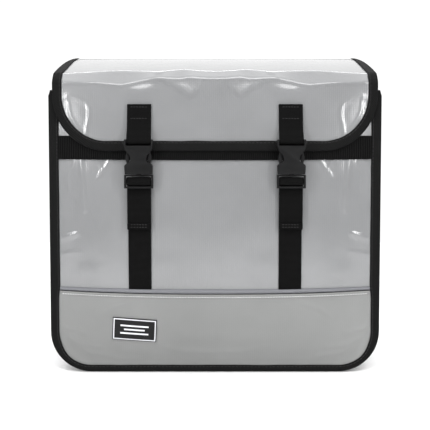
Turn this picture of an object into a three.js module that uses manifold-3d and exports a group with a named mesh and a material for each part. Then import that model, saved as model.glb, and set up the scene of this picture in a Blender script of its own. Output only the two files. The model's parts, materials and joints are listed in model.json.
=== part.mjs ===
// A single bicycle pannier bag: a grey tarpaulin box bag with a fold-over lid, two side-release
// buckles on webbing straps, and a rail with hooks on its back that hangs it on a rack.
// Millimetres. +X is right and -Y is the front, as the front is faced; +Z is up.
// The origin is on the ground, under the middle of the bag's bounding box.

import * as THREE from "three";
import * as BufferGeometryUtils from "three/addons/utils/BufferGeometryUtils.js";
import Module from "manifold-3d";

const wasm = await Module();
wasm.setup();

// ---- Driving dimensions ----

const WIDTH = 355; // over the edge bindings
const DEPTH = 160; // from the front seam plane to the back seam plane
const REACH = 111.6; // from the middle to the buckles' faces, and to the hooks' backs
const CORNER_R = 44; // bottom corners of the front and back panels
const FRONT_TOP = 303; // top edge of the front panel
const BACK_TOP = 349.5; // top edge of the back panel
const SHEET = 1.0; // tarpaulin
const TAPE = 0.8; // folded binding tape
const GAP = 0.4; // between pieces sewn or stacked on each other
const BINDING = 9.5; // width of the edge bindings
const WEBBING = 25; // width of all straps
const STRAP = 1.4; // thickness of all straps

const FRONT_FULLNESS = 20; // how far the filled front panel swells
const SIDE_FULLNESS = 4; // how far the gusset swells
const FULLEST_Z = 130; // height at which the front is fullest
const FULL_BELOW = 120; // the swelling fades out over this much height below, and this much above
const FULL_ABOVE = 222;
const SWELL_POWER = 2.6;

const SEAM_Z = 88; // seam between the front's upper and lower panels
const SEAM_RISE = 1.4; // the seam is this much higher at its ends
const PIPING_R = 2;
const BAND_Z = 242.2; // middle of the webbing band across the front
const LABEL = { width: 47, height: 24.6, thick: 1.2, tilt: -3.4, x: -85.8, z: 48.2 };

const LID_FRONT_Y = -85.1; // plane of the lid's front drop, at its sides
const LID_BOTTOM = 238.2;
const LID_HALF_FRONT = 172.5;
const LID_HALF_BACK = 176.5;
const LID_CORNER_R = 60;
const LID_BINDING = 10.5;
const LID_SLOT = 1.0; // half of the space between the lid binding's two layers
const LID_CROWN = 3;

const BUCKLE_X = 79; // buckles and straps stand this far either side of the middle
const BUCKLE_TOP = 250.2;
const BUCKLE_THICK = 8.4;
const BUCKLE_HALF = 15;
const BUCKLE_Y = -(REACH - BUCKLE_THICK / 2);
const TAIL_END_Z = 157;
const UPPER_STRAP_TOP = 287;

const RAIL_Z = 301; // hook rail on the back
const RAIL_LENGTH = 290;
const HOOK_X = 85;
const HOOK_SEAT_Z = 341; // the rack tube hangs under this face
const HOOK_MOUTH = 16.4; // fits a 16 mm rack tube
const HOOK_WIDTH = 24;
const LATCH_PIVOT = [95, 309]; // y, z
const LOWER_RAIL_Z = 95;
const LOWER_RAIL_LENGTH = 160;
const RIVET_R = 2.2;
const SCREW_R = 2;
const RAIL_RIVETS_X = [-130, -45, 45, 130];
const LOWER_RIVETS_X = [-68, 68];

const HALF_WIDTH = WIDTH / 2;
const SEAM_Y = DEPTH / 2;
const INNER_HALF = HALF_WIDTH - BINDING;
const EDGE_INSET = TAPE + 2 * GAP; // a sheet's edge stops this far inside its binding
const BETWEEN_SIDES = INNER_HALF - 1.8; // half width of what ends between the gusset's sides
const BAND_HALF = INNER_HALF - 0.5;
const PANEL_FRONT = SEAM_Y + SHEET + GAP / 2; // distance of the panels' outer faces from the middle
const BINDING_HALF = SHEET + 1.5 * GAP + TAPE; // half thickness of an edge binding
const PANEL_BACK_FACE = PANEL_FRONT;
const CLEARANCE = 0.3; // round a shank in its hole
const SCREW_HOLE_R = SCREW_R + CLEARANCE;
const SCREW_Z = RAIL_Z - 4; // height of the hooks' screws
const RAIL_FACE = PANEL_BACK_FACE + GAP + 5; // back face of the hook rail

// ---- Materials ----

function finish(color, roughness, metalness = 0) {
  return new THREE.MeshStandardMaterial({ color, roughness, metalness });
}

const tarpaulin = finish("#a4a5a6", 0.35);
const lowerTarpaulin = finish("#9ea09e", 0.45);
const tape = finish("#1c1c1e", 0.8);
const webbing = finish("#141416", 0.85);
const plastic = finish("#232426", 0.45);
const piping = finish("#84868a", 0.4);
const rubber = finish("#18181a", 0.6);
const board = finish("#2c2d30", 0.7);
const steel = finish("#b4b6ba", 0.3, 1);
const aluminium = finish("#3a3c40", 0.45, 0.8);

// ---- Geometry helpers ----

const ROUND_SIDES = 12;

function piece(name, geometry, material) {
  const mesh = new THREE.Mesh(geometry, material);
  mesh.name = name;
  return mesh;
}

function welded(geometry) {
  const bare = geometry.clone();
  bare.deleteAttribute("normal");
  bare.deleteAttribute("uv");
  return BufferGeometryUtils.mergeVertices(bare, 1e-4);
}

function warped(geometry, place) {
  const result = welded(geometry);
  const position = result.attributes.position;
  for (let i = 0; i < position.count; i += 1) {
    position.setXYZ(i, ...place(position.getX(i), position.getY(i), position.getZ(i)));
  }
  return result;
}

// A sheet of columns by rows cells. place(column, row, layer) puts its grid points; layer is 0 on
// the inner face and 1 on the outer one.
function sheet(columns, rows, place) {
  const slab = new THREE.BoxGeometry(columns, rows, 1, columns, rows, 1);
  slab.translate(columns / 2, rows / 2, 0.5);
  return warped(slab, (i, j, k) => place(Math.round(i), Math.round(j), Math.round(k)));
}

// A section, given as points, carried through numbered stations by place(a, b, station).
function swept(section, stations, place) {
  const shape = new THREE.Shape(section.map(([a, b]) => new THREE.Vector2(a, b)));
  const steps = stations - 1;
  const straight = new THREE.ExtrudeGeometry(shape, { depth: steps, steps, bevelEnabled: false });
  return warped(straight, (a, b, k) => place(a, b, Math.round(k)));
}

// An outline in the front view, x and z, with its thickness centred on y = 0.
function frontPlate(shape, thickness, curveSegments = 5) {
  const plate = new THREE.ExtrudeGeometry(shape, { depth: thickness, bevelEnabled: false, curveSegments });
  plate.translate(0, 0, -thickness / 2);
  plate.rotateX(Math.PI / 2);
  return plate;
}

// An outline in the side view, y and z, with its width centred on x = 0.
function sidePlate(points, width) {
  const shape = new THREE.Shape(points.map(([y, z]) => new THREE.Vector2(y, z)));
  const plate = new THREE.ExtrudeGeometry(shape, { depth: width, bevelEnabled: false });
  plate.translate(0, 0, -width / 2);
  plate.rotateZ(Math.PI / 2);
  plate.rotateY(Math.PI / 2);
  return plate;
}

// A direction of length 1.
function unit([a, b]) {
  const length = Math.hypot(a, b);
  return [a / length, b / length];
}

// A strap seen from its edge: a line of points in y and z, given the strap's thickness and width.
function strapPlate(points) {
  const steps = points.slice(1).map(([y, z], i) => unit([y - points[i][0], z - points[i][1]]));
  const left = [];
  const right = [];
  points.forEach(([y, z], i) => {
    const before = steps[Math.max(i - 1, 0)];
    const after = steps[Math.min(i, steps.length - 1)];
    const middle = unit([before[0] + after[0], before[1] + after[1]]);
    const reach = STRAP / 2 / (middle[0] * before[0] + middle[1] * before[1]);
    left.push([y - middle[1] * reach, z + middle[0] * reach]);
    right.unshift([y + middle[1] * reach, z - middle[0] * reach]);
  });
  return sidePlate([...left, ...right], WEBBING);
}

function box(width, depth, height, x, y, z) {
  return new THREE.BoxGeometry(width, depth, height).translate(x, y, z);
}

// A round bar along Y, or along X.
function barY(radius, from, to, x, z) {
  const bar = new THREE.CylinderGeometry(radius, radius, to - from, ROUND_SIDES);
  return bar.translate(x, (from + to) / 2, z);
}

function barX(radius, from, to, y, z) {
  const bar = new THREE.CylinderGeometry(radius, radius, to - from, ROUND_SIDES);
  bar.rotateZ(Math.PI / 2);
  return bar.translate((from + to) / 2, y, z);
}

// A solid of revolution about Y from a profile of [radius, y] points.
function turned(profile) {
  return new THREE.LatheGeometry(profile.map(([r, y]) => new THREE.Vector2(r, y)), ROUND_SIDES);
}

function solid(geometry) {
  const mesh = welded(geometry);
  const vertProperties = new Float32Array(mesh.attributes.position.array);
  const triVerts = new Uint32Array(mesh.index.array);
  return new wasm.Manifold(new wasm.Mesh({ numProp: 3, vertProperties, triVerts }));
}

function geometryOf(body) {
  const mesh = body.getMesh();
  const geometry = new THREE.BufferGeometry();
  geometry.setAttribute("position", new THREE.BufferAttribute(new Float32Array(mesh.vertProperties), 3));
  geometry.setIndex(new THREE.BufferAttribute(new Uint32Array(mesh.triVerts), 1));
  return geometry;
}

function joined(...geometries) {
  return geometryOf(geometries.map(solid).reduce((whole, part) => whole.add(part)));
}

function cut(geometry, ...tools) {
  return geometryOf(tools.map(solid).reduce((whole, tool) => whole.subtract(tool), solid(geometry)));
}

function lerp(from, to, t) {
  return from + (to - from) * t;
}

// Reads a curve given as [position, value] points, straight between them.
function along(curve, position) {
  const last = curve.length - 1;
  const next = curve.findIndex(([where]) => where >= position);
  if (next === 0) return curve[0][1];
  if (next < 0) return curve[last][1];
  const [a, b] = [curve[next - 1], curve[next]];
  return lerp(a[1], b[1], (position - a[0]) / (b[0] - a[0]));
}

// ---- The swollen front ----

// How far the front stands proud of its seam plane at x, z: none inside the bindings.
function swell(x, z) {
  const across = 1 - Math.min(1, Math.abs(x) / INNER_HALF) ** SWELL_POWER;
  const fade = z < FULLEST_Z ? FULL_BELOW : FULL_ABOVE;
  const upDown = 1 - Math.min(1, Math.abs(z - FULLEST_Z) / fade) ** SWELL_POWER;
  return FRONT_FULLNESS * across * upDown * cornerFade(x, z);
}

// The swelling stops short of the binding round the bottom corners.
function cornerFade(x, z) {
  const right = Math.abs(x) - (HALF_WIDTH - CORNER_R);
  const down = CORNER_R - z;
  if (right < 0 || down < 0) return 1;
  const inside = CORNER_R - BINDING - Math.hypot(right, down);
  return THREE.MathUtils.clamp((inside - 3) / 8, 0, 1);
}

const FRONT_COLUMNS = 14;

// Where a front column stands in a row of half width w: one narrow column lies in each binding.
function columnX(column, w) {
  const hem = BINDING - EDGE_INSET;
  if (column === 0) return -w;
  if (column === FRONT_COLUMNS) return w;
  return lerp(-(w - hem), w - hem, (column - 1) / (FRONT_COLUMNS - 2));
}

function panelHalfWidth(z) {
  const flat = HALF_WIDTH - CORNER_R;
  const r = CORNER_R - EDGE_INSET;
  if (z >= CORNER_R) return flat + r;
  return flat + Math.sqrt(Math.max(0, r * r - (CORNER_R - z) ** 2));
}

function seamZ(x) {
  return SEAM_Z + SEAM_RISE * (x / HALF_WIDTH) ** 2;
}

// A panel of the front whose rows are given by height; bend(x, z) is a row's height at x.
function frontPanel(rows, bend) {
  return sheet(FRONT_COLUMNS, rows.length - 1, (i, j, layer) => {
    const x = columnX(i, panelHalfWidth(rows[j]));
    const z = bend(x, rows[j]);
    return [x, -(PANEL_FRONT - SHEET * (1 - layer) + swell(x, z)), z];
  });
}

const SEAM_GAP = PIPING_R + GAP;
const UPPER_ROWS = [SEAM_Z + SEAM_GAP, 110, 135, 165, 195, 222, 242, 260, 276, 290, FRONT_TOP - 2];
const LOWER_ROWS = [EDGE_INSET, 3, BINDING + 1, 17, 26, 35, CORNER_R, 58, 72, SEAM_Z - SEAM_GAP];

// Both panels follow the curved seam where they meet it, and are level at their other ends.
function upperPanel() {
  const top = UPPER_ROWS[UPPER_ROWS.length - 1];
  return frontPanel(UPPER_ROWS, (x, z) => z + (seamZ(x) - SEAM_Z) * (top - z) / (top - SEAM_Z));
}

function lowerPanel() {
  const nearness = (z) => Math.max(0, (z - CORNER_R) / (SEAM_Z - CORNER_R));
  return frontPanel(LOWER_ROWS, (x, z) => z + (seamZ(x) - SEAM_Z) * nearness(z));
}

function seamPiping() {
  const points = [];
  for (let i = 1; i < FRONT_COLUMNS; i += 1) {
    const x = THREE.MathUtils.clamp(columnX(i, panelHalfWidth(SEAM_Z)), -BETWEEN_SIDES, BETWEEN_SIDES);
    points.push(new THREE.Vector3(x, -(PANEL_FRONT - SHEET / 2 + swell(x, SEAM_Z)), seamZ(x)));
  }
  const ring = new THREE.Shape();
  ring.absarc(0, 0, PIPING_R, 0, 2 * Math.PI);
  const extrudePath = new THREE.CatmullRomCurve3(points);
  return new THREE.ExtrudeGeometry(ring, { extrudePath, steps: 18, curveSegments: 8, bevelEnabled: false });
}

function webbingBand() {
  return sheet(FRONT_COLUMNS - 2, 2, (i, j, layer) => {
    const x = THREE.MathUtils.clamp(columnX(i + 1, HALF_WIDTH), -BAND_HALF, BAND_HALF);
    const z = BAND_Z + WEBBING * (j / 2 - 0.5);
    return [x, -(PANEL_FRONT + swell(x, z) + GAP + STRAP * layer), z];
  });
}

function labelPatch() {
  const centre = new THREE.Vector2(LABEL.x, LABEL.z);
  const tilt = THREE.MathUtils.degToRad(LABEL.tilt);
  return sheet(4, 2, (i, j, layer) => {
    const place = new THREE.Vector2(LABEL.width * (i / 4 - 0.5), LABEL.height * (j / 2 - 0.5));
    const { x, y: z } = place.add(centre).rotateAround(centre, tilt);
    return [x, -(PANEL_FRONT + swell(x, z) + GAP + LABEL.thick * layer), z];
  });
}

// ---- Gusset and edge bindings ----

// The edge of the front and back panels, from the top left (-3) round under the bag (0) to the
// top right (3), at an inset from the outer edge. top is the height where the sides end.
function edgePoint(t, inset, top) {
  const side = Math.sign(t);
  const stretch = Math.abs(t);
  const flat = HALF_WIDTH - CORNER_R;
  const r = CORNER_R - inset;
  if (stretch <= 1) return [side * stretch * flat, inset];
  if (stretch > 2) return [side * (flat + r), lerp(CORNER_R, top, stretch - 2)];
  const angle = ((stretch - 1) * Math.PI) / 2;
  return [side * (flat + r * Math.sin(angle)), CORNER_R - r * Math.cos(angle)];
}

const HALF_STATIONS = [0.5, 1, 1.2, 1.4, 1.6, 1.8, 2, 2.35, 2.7, 3];
const EDGE_STATIONS = [...HALF_STATIONS.map((t) => -t).reverse(), ...HALF_STATIONS];

function binding(seamY, top) {
  const slot = BINDING_HALF - TAPE;
  const section = [
    [-BINDING_HALF, 0], [BINDING_HALF, 0], [BINDING_HALF, BINDING - CLEARANCE], [slot, BINDING - CLEARANCE],
    [slot, TAPE], [-slot, TAPE], [-slot, BINDING - CLEARANCE], [-BINDING_HALF, BINDING - CLEARANCE],
  ];
  return swept(section, EDGE_STATIONS.length, (y, inset, k) => {
    const [x, z] = edgePoint(EDGE_STATIONS[k], inset, top);
    return [x, seamY + y, z];
  });
}

// Height of the gusset's free rim at a depth y.
const RIM = [
  [-80, FRONT_TOP], [-72, 312], [-55, 319.5], [-21, 329],
  [3.5, 335], [29.5, 341.1], [55, 345.7], [80, BACK_TOP],
];
const WEB_Y = [-70, -52, -26, 0, 26, 52, 70];
const GUSSET_THICK = 1.2;

function gussetInset(y) {
  return BINDING - SIDE_FULLNESS * Math.max(0, 1 - (y / (SEAM_Y - 2)) ** 2);
}

function gusset() {
  const flangeFace = SEAM_Y - GAP / 2;
  const flangeBack = flangeFace - SHEET;
  const outer = WEB_Y.map((y) => [y, gussetInset(y)]);
  const inner = WEB_Y.map((y) => [y, gussetInset(y) + GUSSET_THICK]).reverse();
  const section = [
    [-flangeFace, EDGE_INSET], [-flangeBack, EDGE_INSET], [-flangeBack, BINDING], ...outer,
    [flangeBack, BINDING], [flangeBack, EDGE_INSET], [flangeFace, EDGE_INSET],
    [flangeFace, BINDING + GUSSET_THICK], ...inner, [-flangeFace, BINDING + GUSSET_THICK],
  ];
  return swept(section, EDGE_STATIONS.length, (y, inset, k) => {
    const [x, z] = edgePoint(EDGE_STATIONS[k], inset, along(RIM, y) - 2);
    return [x, y, z];
  });
}

// The section of a tape folded over a rim whose sheet is `thick` thick, with the fold on top.
function rimSection(thick, drop) {
  const slot = thick / 2 + GAP;
  const half = slot + TAPE;
  return [
    [-half, -drop], [-slot, -drop], [-slot, 0], [slot, 0],
    [slot, -drop], [half, -drop], [half, TAPE], [-half, TAPE],
  ];
}

// Folded tape over the free rim of one side of the gusset. side is -1 or 1.
function sideRimBinding(side) {
  const section = rimSection(GUSSET_THICK, 8);
  const stations = [-76.5, ...WEB_Y, 76.5];
  const middle = HALF_WIDTH - GUSSET_THICK / 2;
  return swept(section, stations.length, (out, up, k) => {
    const y = stations[stations.length - 1 - k];
    return [side * (middle - gussetInset(y)) + out, y, along(RIM, y) - 2 + GAP + up];
  });
}

// Folded tape over the free top of the front panel.
function frontRimBinding() {
  const section = rimSection(SHEET, 9);
  return swept(section, FRONT_COLUMNS - 1, (back, up, k) => {
    const x = THREE.MathUtils.clamp(columnX(k + 1, HALF_WIDTH), -BETWEEN_SIDES, BETWEEN_SIDES);
    const z = FRONT_TOP - 2 + GAP + up;
    return [x, -(PANEL_FRONT - SHEET / 2 + swell(x, z)) + back, z];
  });
}

const BACK_ROWS = [EDGE_INSET, 6, 13, 22, 33, CORNER_R, BACK_TOP];

function backPanel() {
  const plain = sheet(2, BACK_ROWS.length - 1, (i, j, layer) => {
    const z = BACK_ROWS[j];
    return [(i - 1) * panelHalfWidth(z), PANEL_BACK_FACE - SHEET * layer, z];
  });
  return cut(plain, ...rivetHoles());
}

// ---- Lid ----

// The lid's side edge from its bottom front up over the fold and back to the hinge: y, z, and the
// share of the front's swelling that it takes.
const LID_ROWS = [
  [LID_FRONT_Y, LID_BOTTOM + EDGE_INSET, 1], [LID_FRONT_Y, 243, 1], [LID_FRONT_Y, 250, 1],
  [LID_FRONT_Y, 260, 1], [LID_FRONT_Y, 272, 1], [LID_FRONT_Y, 285, 1],
  [LID_FRONT_Y, LID_BOTTOM + LID_CORNER_R, 1], [LID_FRONT_Y, 306, 1],
  [-83.8, 312, 1], [-79.5, 317, 0.9], [-72, 320.2, 0.75], [-62, 323, 0.55], [-46, 328, 0.3],
  [-21, 335, 0.1], [3.5, 341, 0], [29.5, 346.8, 0], [56, 351.1, 0], [80.7, 354, 0],
];
const HINGE_YZ = LID_ROWS[LID_ROWS.length - 1];

function rowNormal(j) {
  const before = LID_ROWS[Math.max(j - 1, 0)];
  const after = LID_ROWS[Math.min(j + 1, LID_ROWS.length - 1)];
  const step = unit([after[0] - before[0], after[1] - before[1]]);
  return [-step[1], step[0]];
}

function lidHalf(y) {
  return lerp(LID_HALF_FRONT, LID_HALF_BACK, (y - LID_FRONT_Y) / (HINGE_YZ[0] - LID_FRONT_Y));
}

// A point of the lid in row j, out from its mid surface by `out`.
function lidPoint(j, x, out) {
  const [y, z, share] = LID_ROWS[j];
  const [outY, outZ] = rowNormal(j);
  const dome = (1 - share) * (1 - (x / LID_HALF_BACK) ** 2);
  const crown = LID_CROWN * dome * Math.min(1, (HINGE_YZ[0] - y) / 30);
  return [x, y + outY * out - share * swell(x, z), z + outZ * out + crown];
}

function lidDropPoint(x, z, out) {
  return [x, LID_FRONT_Y - swell(x, z) - out, z];
}

function lidRowHalf(j) {
  const [y, z] = LID_ROWS[j];
  const below = LID_BOTTOM + LID_CORNER_R - z;
  const r = LID_CORNER_R - EDGE_INSET;
  if (below <= 0) return lidHalf(y) - EDGE_INSET;
  return LID_HALF_FRONT - LID_CORNER_R + Math.sqrt(Math.max(0, r * r - below * below));
}

function lidSheet() {
  return sheet(FRONT_COLUMNS, LID_ROWS.length - 1, (i, j, layer) => {
    const x = columnX(i, lidRowHalf(j));
    return lidPoint(j, x, SHEET * (layer - 0.5));
  });
}

// Stations round the lid's free edge, left to right: rows of a side, then a corner's angles, then
// the bottom, and the same again mirrored.
function lidEdgeStations() {
  const rows = LID_ROWS.map((place, row) => ({ row, z: place[1] }))
    .filter(({ z }) => z >= LID_BOTTOM + LID_CORNER_R)
    .map(({ row }) => ({ row }))
    .reverse();
  const corner = [0.15, 0.3, 0.45, 0.6, 0.75, 0.9].map((turn) => ({ turn }));
  const bottom = [1, 0.8, 0.6, 0.4, 0.2].map((share) => ({ share }));
  const left = [...rows, ...corner, ...bottom].map((station) => ({ ...station, side: -1 }));
  const right = left.map((station) => ({ ...station, side: 1 })).reverse();
  return [...left, { share: 0, side: 1 }, ...right];
}

function lidEdgePoint(station, inset, out) {
  const { row, turn, share, side } = station;
  const flat = LID_HALF_FRONT - LID_CORNER_R;
  const r = LID_CORNER_R - inset;
  if (row !== undefined) return lidPoint(row, side * (lidHalf(LID_ROWS[row][0]) - inset), out);
  if (share !== undefined) return lidDropPoint(side * share * flat, LID_BOTTOM + inset, out);
  const angle = (turn * Math.PI) / 2;
  const x = side * (flat + r * Math.cos(angle));
  return lidDropPoint(x, LID_BOTTOM + LID_CORNER_R - r * Math.sin(angle), out);
}

function lidBinding() {
  const face = LID_SLOT + TAPE;
  const section = [
    [-face, 0], [face, 0], [face, LID_BINDING], [LID_SLOT, LID_BINDING],
    [LID_SLOT, TAPE], [-LID_SLOT, TAPE], [-LID_SLOT, LID_BINDING], [-face, LID_BINDING],
  ];
  const stations = lidEdgeStations();
  return swept(section, stations.length, (inward, inset, k) => lidEdgePoint(stations[k], inset, -inward));
}

// ---- Straps and buckles; built round x = 0, y = 0 at the female half's middle, z = 0 at its top ----

const FEMALE_LENGTH = 36;
const CAVITY_HALF = 14;
const CAVITY_THICK = 5.2;
const FRAME_THICK = 5;
const MALE_TOP = -FEMALE_LENGTH - GAP;
const MALE_BOTTOM = -50.5;
const BAR_THICK = 2.2;
const PRONG_THICK = 4.4;
const STRAP_SLOT = WEBBING + 1; // length of the slots that straps pass through

function femaleOutline() {
  const top = BUCKLE_HALF - 0.7;
  const shape = new THREE.Shape();
  shape.moveTo(-top, 0);
  shape.lineTo(-BUCKLE_HALF, -1);
  shape.lineTo(-BUCKLE_HALF, -6);
  shape.bezierCurveTo(-BUCKLE_HALF + 1, -14, -8.5, -14, -8, -20.5);
  shape.bezierCurveTo(-8.5, -25, -14, -24, -BUCKLE_HALF + 0.4, -27.5);
  shape.lineTo(-BUCKLE_HALF + 0.9, -FEMALE_LENGTH);
  shape.lineTo(BUCKLE_HALF - 0.9, -FEMALE_LENGTH);
  shape.lineTo(BUCKLE_HALF - 0.4, -27.5);
  shape.bezierCurveTo(14, -24, 8.5, -25, 8, -20.5);
  shape.bezierCurveTo(8.5, -14, BUCKLE_HALF - 1, -14, BUCKLE_HALF, -6);
  shape.lineTo(BUCKLE_HALF, -1);
  shape.lineTo(top, 0);
  return shape;
}

function femaleBuckle() {
  const body = frontPlate(femaleOutline(), BUCKLE_THICK, 6);
  const slot = box(STRAP_SLOT, 20, 3.6, 0, 0, -4.6);
  const recess = (side) => box(STRAP_SLOT, 10, 8, 0, side * 6.8, -2.4);
  const cavity = box(2 * CAVITY_HALF, CAVITY_THICK, 30, 0, 0, -23);
  return cut(body, slot, recess(-1), recess(1), cavity);
}

function maleBuckle() {
  const height = MALE_TOP - MALE_BOTTOM;
  const frame = box(2 * BUCKLE_HALF, FRAME_THICK, height, 0, 0, (MALE_TOP + MALE_BOTTOM) / 2);
  const window = box(STRAP_SLOT, 20, 10.7, 0, 0, -43.25);
  const bar = box(STRAP_SLOT + 2, BAR_THICK, 3.6, 0, 0, -43.2);
  const tongue = box(5, 3, 19, 0, 0, MALE_TOP + 8.5);
  return joined(cut(frame, window), bar, tongue);
}

// One springy arm with its catch. side is -1 or 1.
function prong(side) {
  const points = [
    [9.8, MALE_TOP + GAP], [12.4, MALE_TOP + GAP], [12.6, -23], [13.6, -21],
    [13.5, -17.5], [12, -12.8], [10.6, -12.8], [9.6, -18],
  ];
  const shape = new THREE.Shape(points.map(([x, z]) => new THREE.Vector2(side * x, z)));
  return frontPlate(shape, PRONG_THICK);
}

// The free end of a lower strap: up behind the male half, over its bar and down as a tail.
function strapTail() {
  const top = BUCKLE_TOP;
  const tail = TAIL_END_Z - top;
  return strapPlate([
    [5.2, -50.6], [5.2, -45.8], [3.2, -41], [0, -39.4], [-2.5, -41], [-2.5, -45.2], [-1.3, -46.9],
    [2.2, -47.1], [3.5, -48.7], [3.5, -52], [3.6, -70], [3.8, tail],
  ]);
}

// The stitched loop that hangs a female half from the lid.
function upperStrap() {
  const lidFace = (z) => LID_FRONT_Y - SHEET / 2 - 1 - swell(BUCKLE_X - WEBBING / 2, z) - BUCKLE_Y;
  const top = UPPER_STRAP_TOP - BUCKLE_TOP;
  return strapPlate([
    [lidFace(UPPER_STRAP_TOP), top], [lidFace(UPPER_STRAP_TOP - 12) - 0.2, top - 12],
    [lidFace(UPPER_STRAP_TOP - 24) - 0.8, top - 24], [2.85, 2], [2.85, -3.4],
    [1.4, -4.6], [-1.4, -4.6], [-2.85, -3.4], [-2.85, 3], [0.4, 9.5],
  ]);
}

// The lower strap from the seam to the back of the male half; x is measured from the middle.
function lowerStrap(side) {
  const [from, to] = [SEAM_Z + SEAM_GAP + 0.6, BUCKLE_TOP - 51];
  const rows = 8;
  const flatRear = -(BUCKLE_Y + 5.2 + STRAP / 2);
  return sheet(2, rows, (i, j, layer) => {
    const x = side * BUCKLE_X + WEBBING * (i / 2 - 0.5);
    const z = lerp(from, to, j / rows);
    const lying = PANEL_FRONT + swell(x, z) + GAP;
    const rise = THREE.MathUtils.smoothstep(z, 140, to);
    return [x, -(lerp(lying, flatRear, rise) + STRAP * layer), z];
  });
}

function buckleSet(name, side) {
  const set = new THREE.Group();
  set.position.set(side * BUCKLE_X, BUCKLE_Y, BUCKLE_TOP);
  set.add(piece(`upper_strap_${name}`, upperStrap(), webbing));
  set.add(piece(`buckle_female_${name}`, femaleBuckle(), plastic));
  set.add(piece(`buckle_male_${name}`, maleBuckle(), plastic));
  set.add(piece(`buckle_prong_${name}_a`, prong(-1), plastic));
  set.add(piece(`buckle_prong_${name}_b`, prong(1), plastic));
  set.add(piece(`strap_tail_${name}`, strapTail(), webbing));
  return set;
}

// ---- Boards, rails and rivets on the back ----

const BOARD_THICK = 2.5;
const BOARD_FACE = SEAM_Y - GAP / 2; // outer face of the back board

function rivetHoles() {
  const hole = (x, z) => barY(RIVET_R + CLEARANCE, 60, 100, x, z);
  const upper = RAIL_RIVETS_X.map((x) => hole(x, RAIL_Z));
  const lower = LOWER_RIVETS_X.map((x) => hole(x, LOWER_RAIL_Z));
  return [...upper, ...lower];
}

function backBoard() {
  const [half, bottom, top, r] = [162, 14, 334, 32];
  const shape = new THREE.Shape();
  shape.moveTo(half, top);
  shape.lineTo(-half, top);
  shape.absarc(-half + r, bottom + r, r, Math.PI, 1.5 * Math.PI);
  shape.absarc(half - r, bottom + r, r, 1.5 * Math.PI, 2 * Math.PI);
  shape.closePath();
  const plain = frontPlate(shape, BOARD_THICK, 6);
  plain.translate(0, BOARD_FACE - BOARD_THICK / 2, 0);
  return cut(plain, ...rivetHoles());
}

function baseBoard() {
  return box(262, 146, 3, 0, -2, 15);
}

// A rivet with a head on the rail and a set flange inside the board.
function rivet(railFace) {
  const inside = BOARD_FACE - BOARD_THICK - GAP;
  const outside = railFace + GAP;
  const profile = [
    [0, inside - 1.4], [4, inside - 1.4], [4, inside], [RIVET_R, inside], [RIVET_R, outside],
    [4.2, outside], [3.4, outside + 1.2], [0, outside + 1.7],
  ];
  return turned(profile);
}

function hookRail() {
  const [front, back] = [PANEL_BACK_FACE + GAP, RAIL_FACE];
  const half = 11;
  const section = [
    [front, RAIL_Z - half], [back - 1.5, RAIL_Z - half], [back, RAIL_Z - half + 1.5],
    [back, RAIL_Z + half - 1.5], [back - 1.5, RAIL_Z + half], [front, RAIL_Z + half],
  ];
  const screwHoles = [-1, 1].map((side) => barY(SCREW_HOLE_R, 80, 92, side * HOOK_X, SCREW_Z));
  return cut(sidePlate(section, RAIL_LENGTH), ...rivetHoles(), ...screwHoles);
}

// ---- Hooks ----

const HOOK_PLATE = RAIL_FACE + GAP; // front face of a hook's plate
const HOOK_LEG = 4; // thickness of the leg behind the mouth
const HOOK_INNER = REACH - HOOK_LEG - HOOK_MOUTH; // the mouth's wall on the bag's side
const PIN_R = 1.5;
const LATCH_WIDTH = 16.4;
const PIN_HOLE_R = PIN_R + CLEARANCE;

function hook() {
  const [foot, lip, seat, crest] = [291, REACH - HOOK_LEG, HOOK_SEAT_Z, HOOK_SEAT_Z + 6];
  const outline = [
    [HOOK_PLATE, foot], [HOOK_INNER, foot], [HOOK_INNER, seat], [lip, seat], [lip, 323],
    [REACH, 325], [REACH, crest - 4], [lip, crest], [HOOK_PLATE + 3, crest], [HOOK_PLATE, crest - 3],
  ];
  const [pivotY, pivotZ] = LATCH_PIVOT;
  const ear = (x) => box(3, 8.4, 12, x, pivotY - 0.4, pivotZ);
  const pinHole = barX(PIN_HOLE_R, -20, 20, pivotY, pivotZ);
  const screwHole = barY(SCREW_HOLE_R, 80, 100, 0, SCREW_Z);
  const body = joined(sidePlate(outline, HOOK_WIDTH), ear(-10.1), ear(10.1));
  return cut(body, pinHole, screwHole);
}

function latch() {
  const [pivotY, pivotZ] = LATCH_PIVOT;
  const outline = [
    [-3, 1], [-1.5, -3.4], [2.5, -3.4], [5, 1], [14.5, 9], [14.5, 12], [11, 12], [0, 5],
  ].map(([y, z]) => [pivotY + y, pivotZ + z]);
  return cut(sidePlate(outline, LATCH_WIDTH), barX(PIN_HOLE_R, -20, 20, pivotY, pivotZ));
}

function hookSet(name, side) {
  const set = new THREE.Group();
  set.position.x = side * HOOK_X;
  const [pivotY, pivotZ] = LATCH_PIVOT;
  const [tip, head] = [PANEL_BACK_FACE + 2 * GAP, HOOK_INNER + GAP];
  const screwProfile = [
    [0, tip], [SCREW_R, tip], [SCREW_R, head], [3.6, head], [3.6, head + 1.4], [0, head + 1.8],
  ];
  const screw = piece(`hook_screw_${name}`, turned(screwProfile), steel);
  screw.position.z = SCREW_Z;
  set.add(piece(`hook_${name}`, hook(), plastic));
  set.add(piece(`hook_latch_${name}`, latch(), plastic));
  set.add(piece(`latch_pin_${name}`, barX(PIN_R, -12.6, 12.6, pivotY, pivotZ), steel));
  set.add(screw);
  return set;
}

// ---- Lower anti-sway hook ----

const LOWER_WEB = PANEL_BACK_FACE + GAP;
const LOWER_FLANGE = LOWER_WEB + 2.8;
const LOWER_FACE = LOWER_FLANGE + 2.6;
const SLIDER_FACE = LOWER_FACE + GAP + 3;
const LOWER_HOOK_Y = SLIDER_FACE + GAP;
const LOWER_HOOK_THICK = 5;

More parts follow.
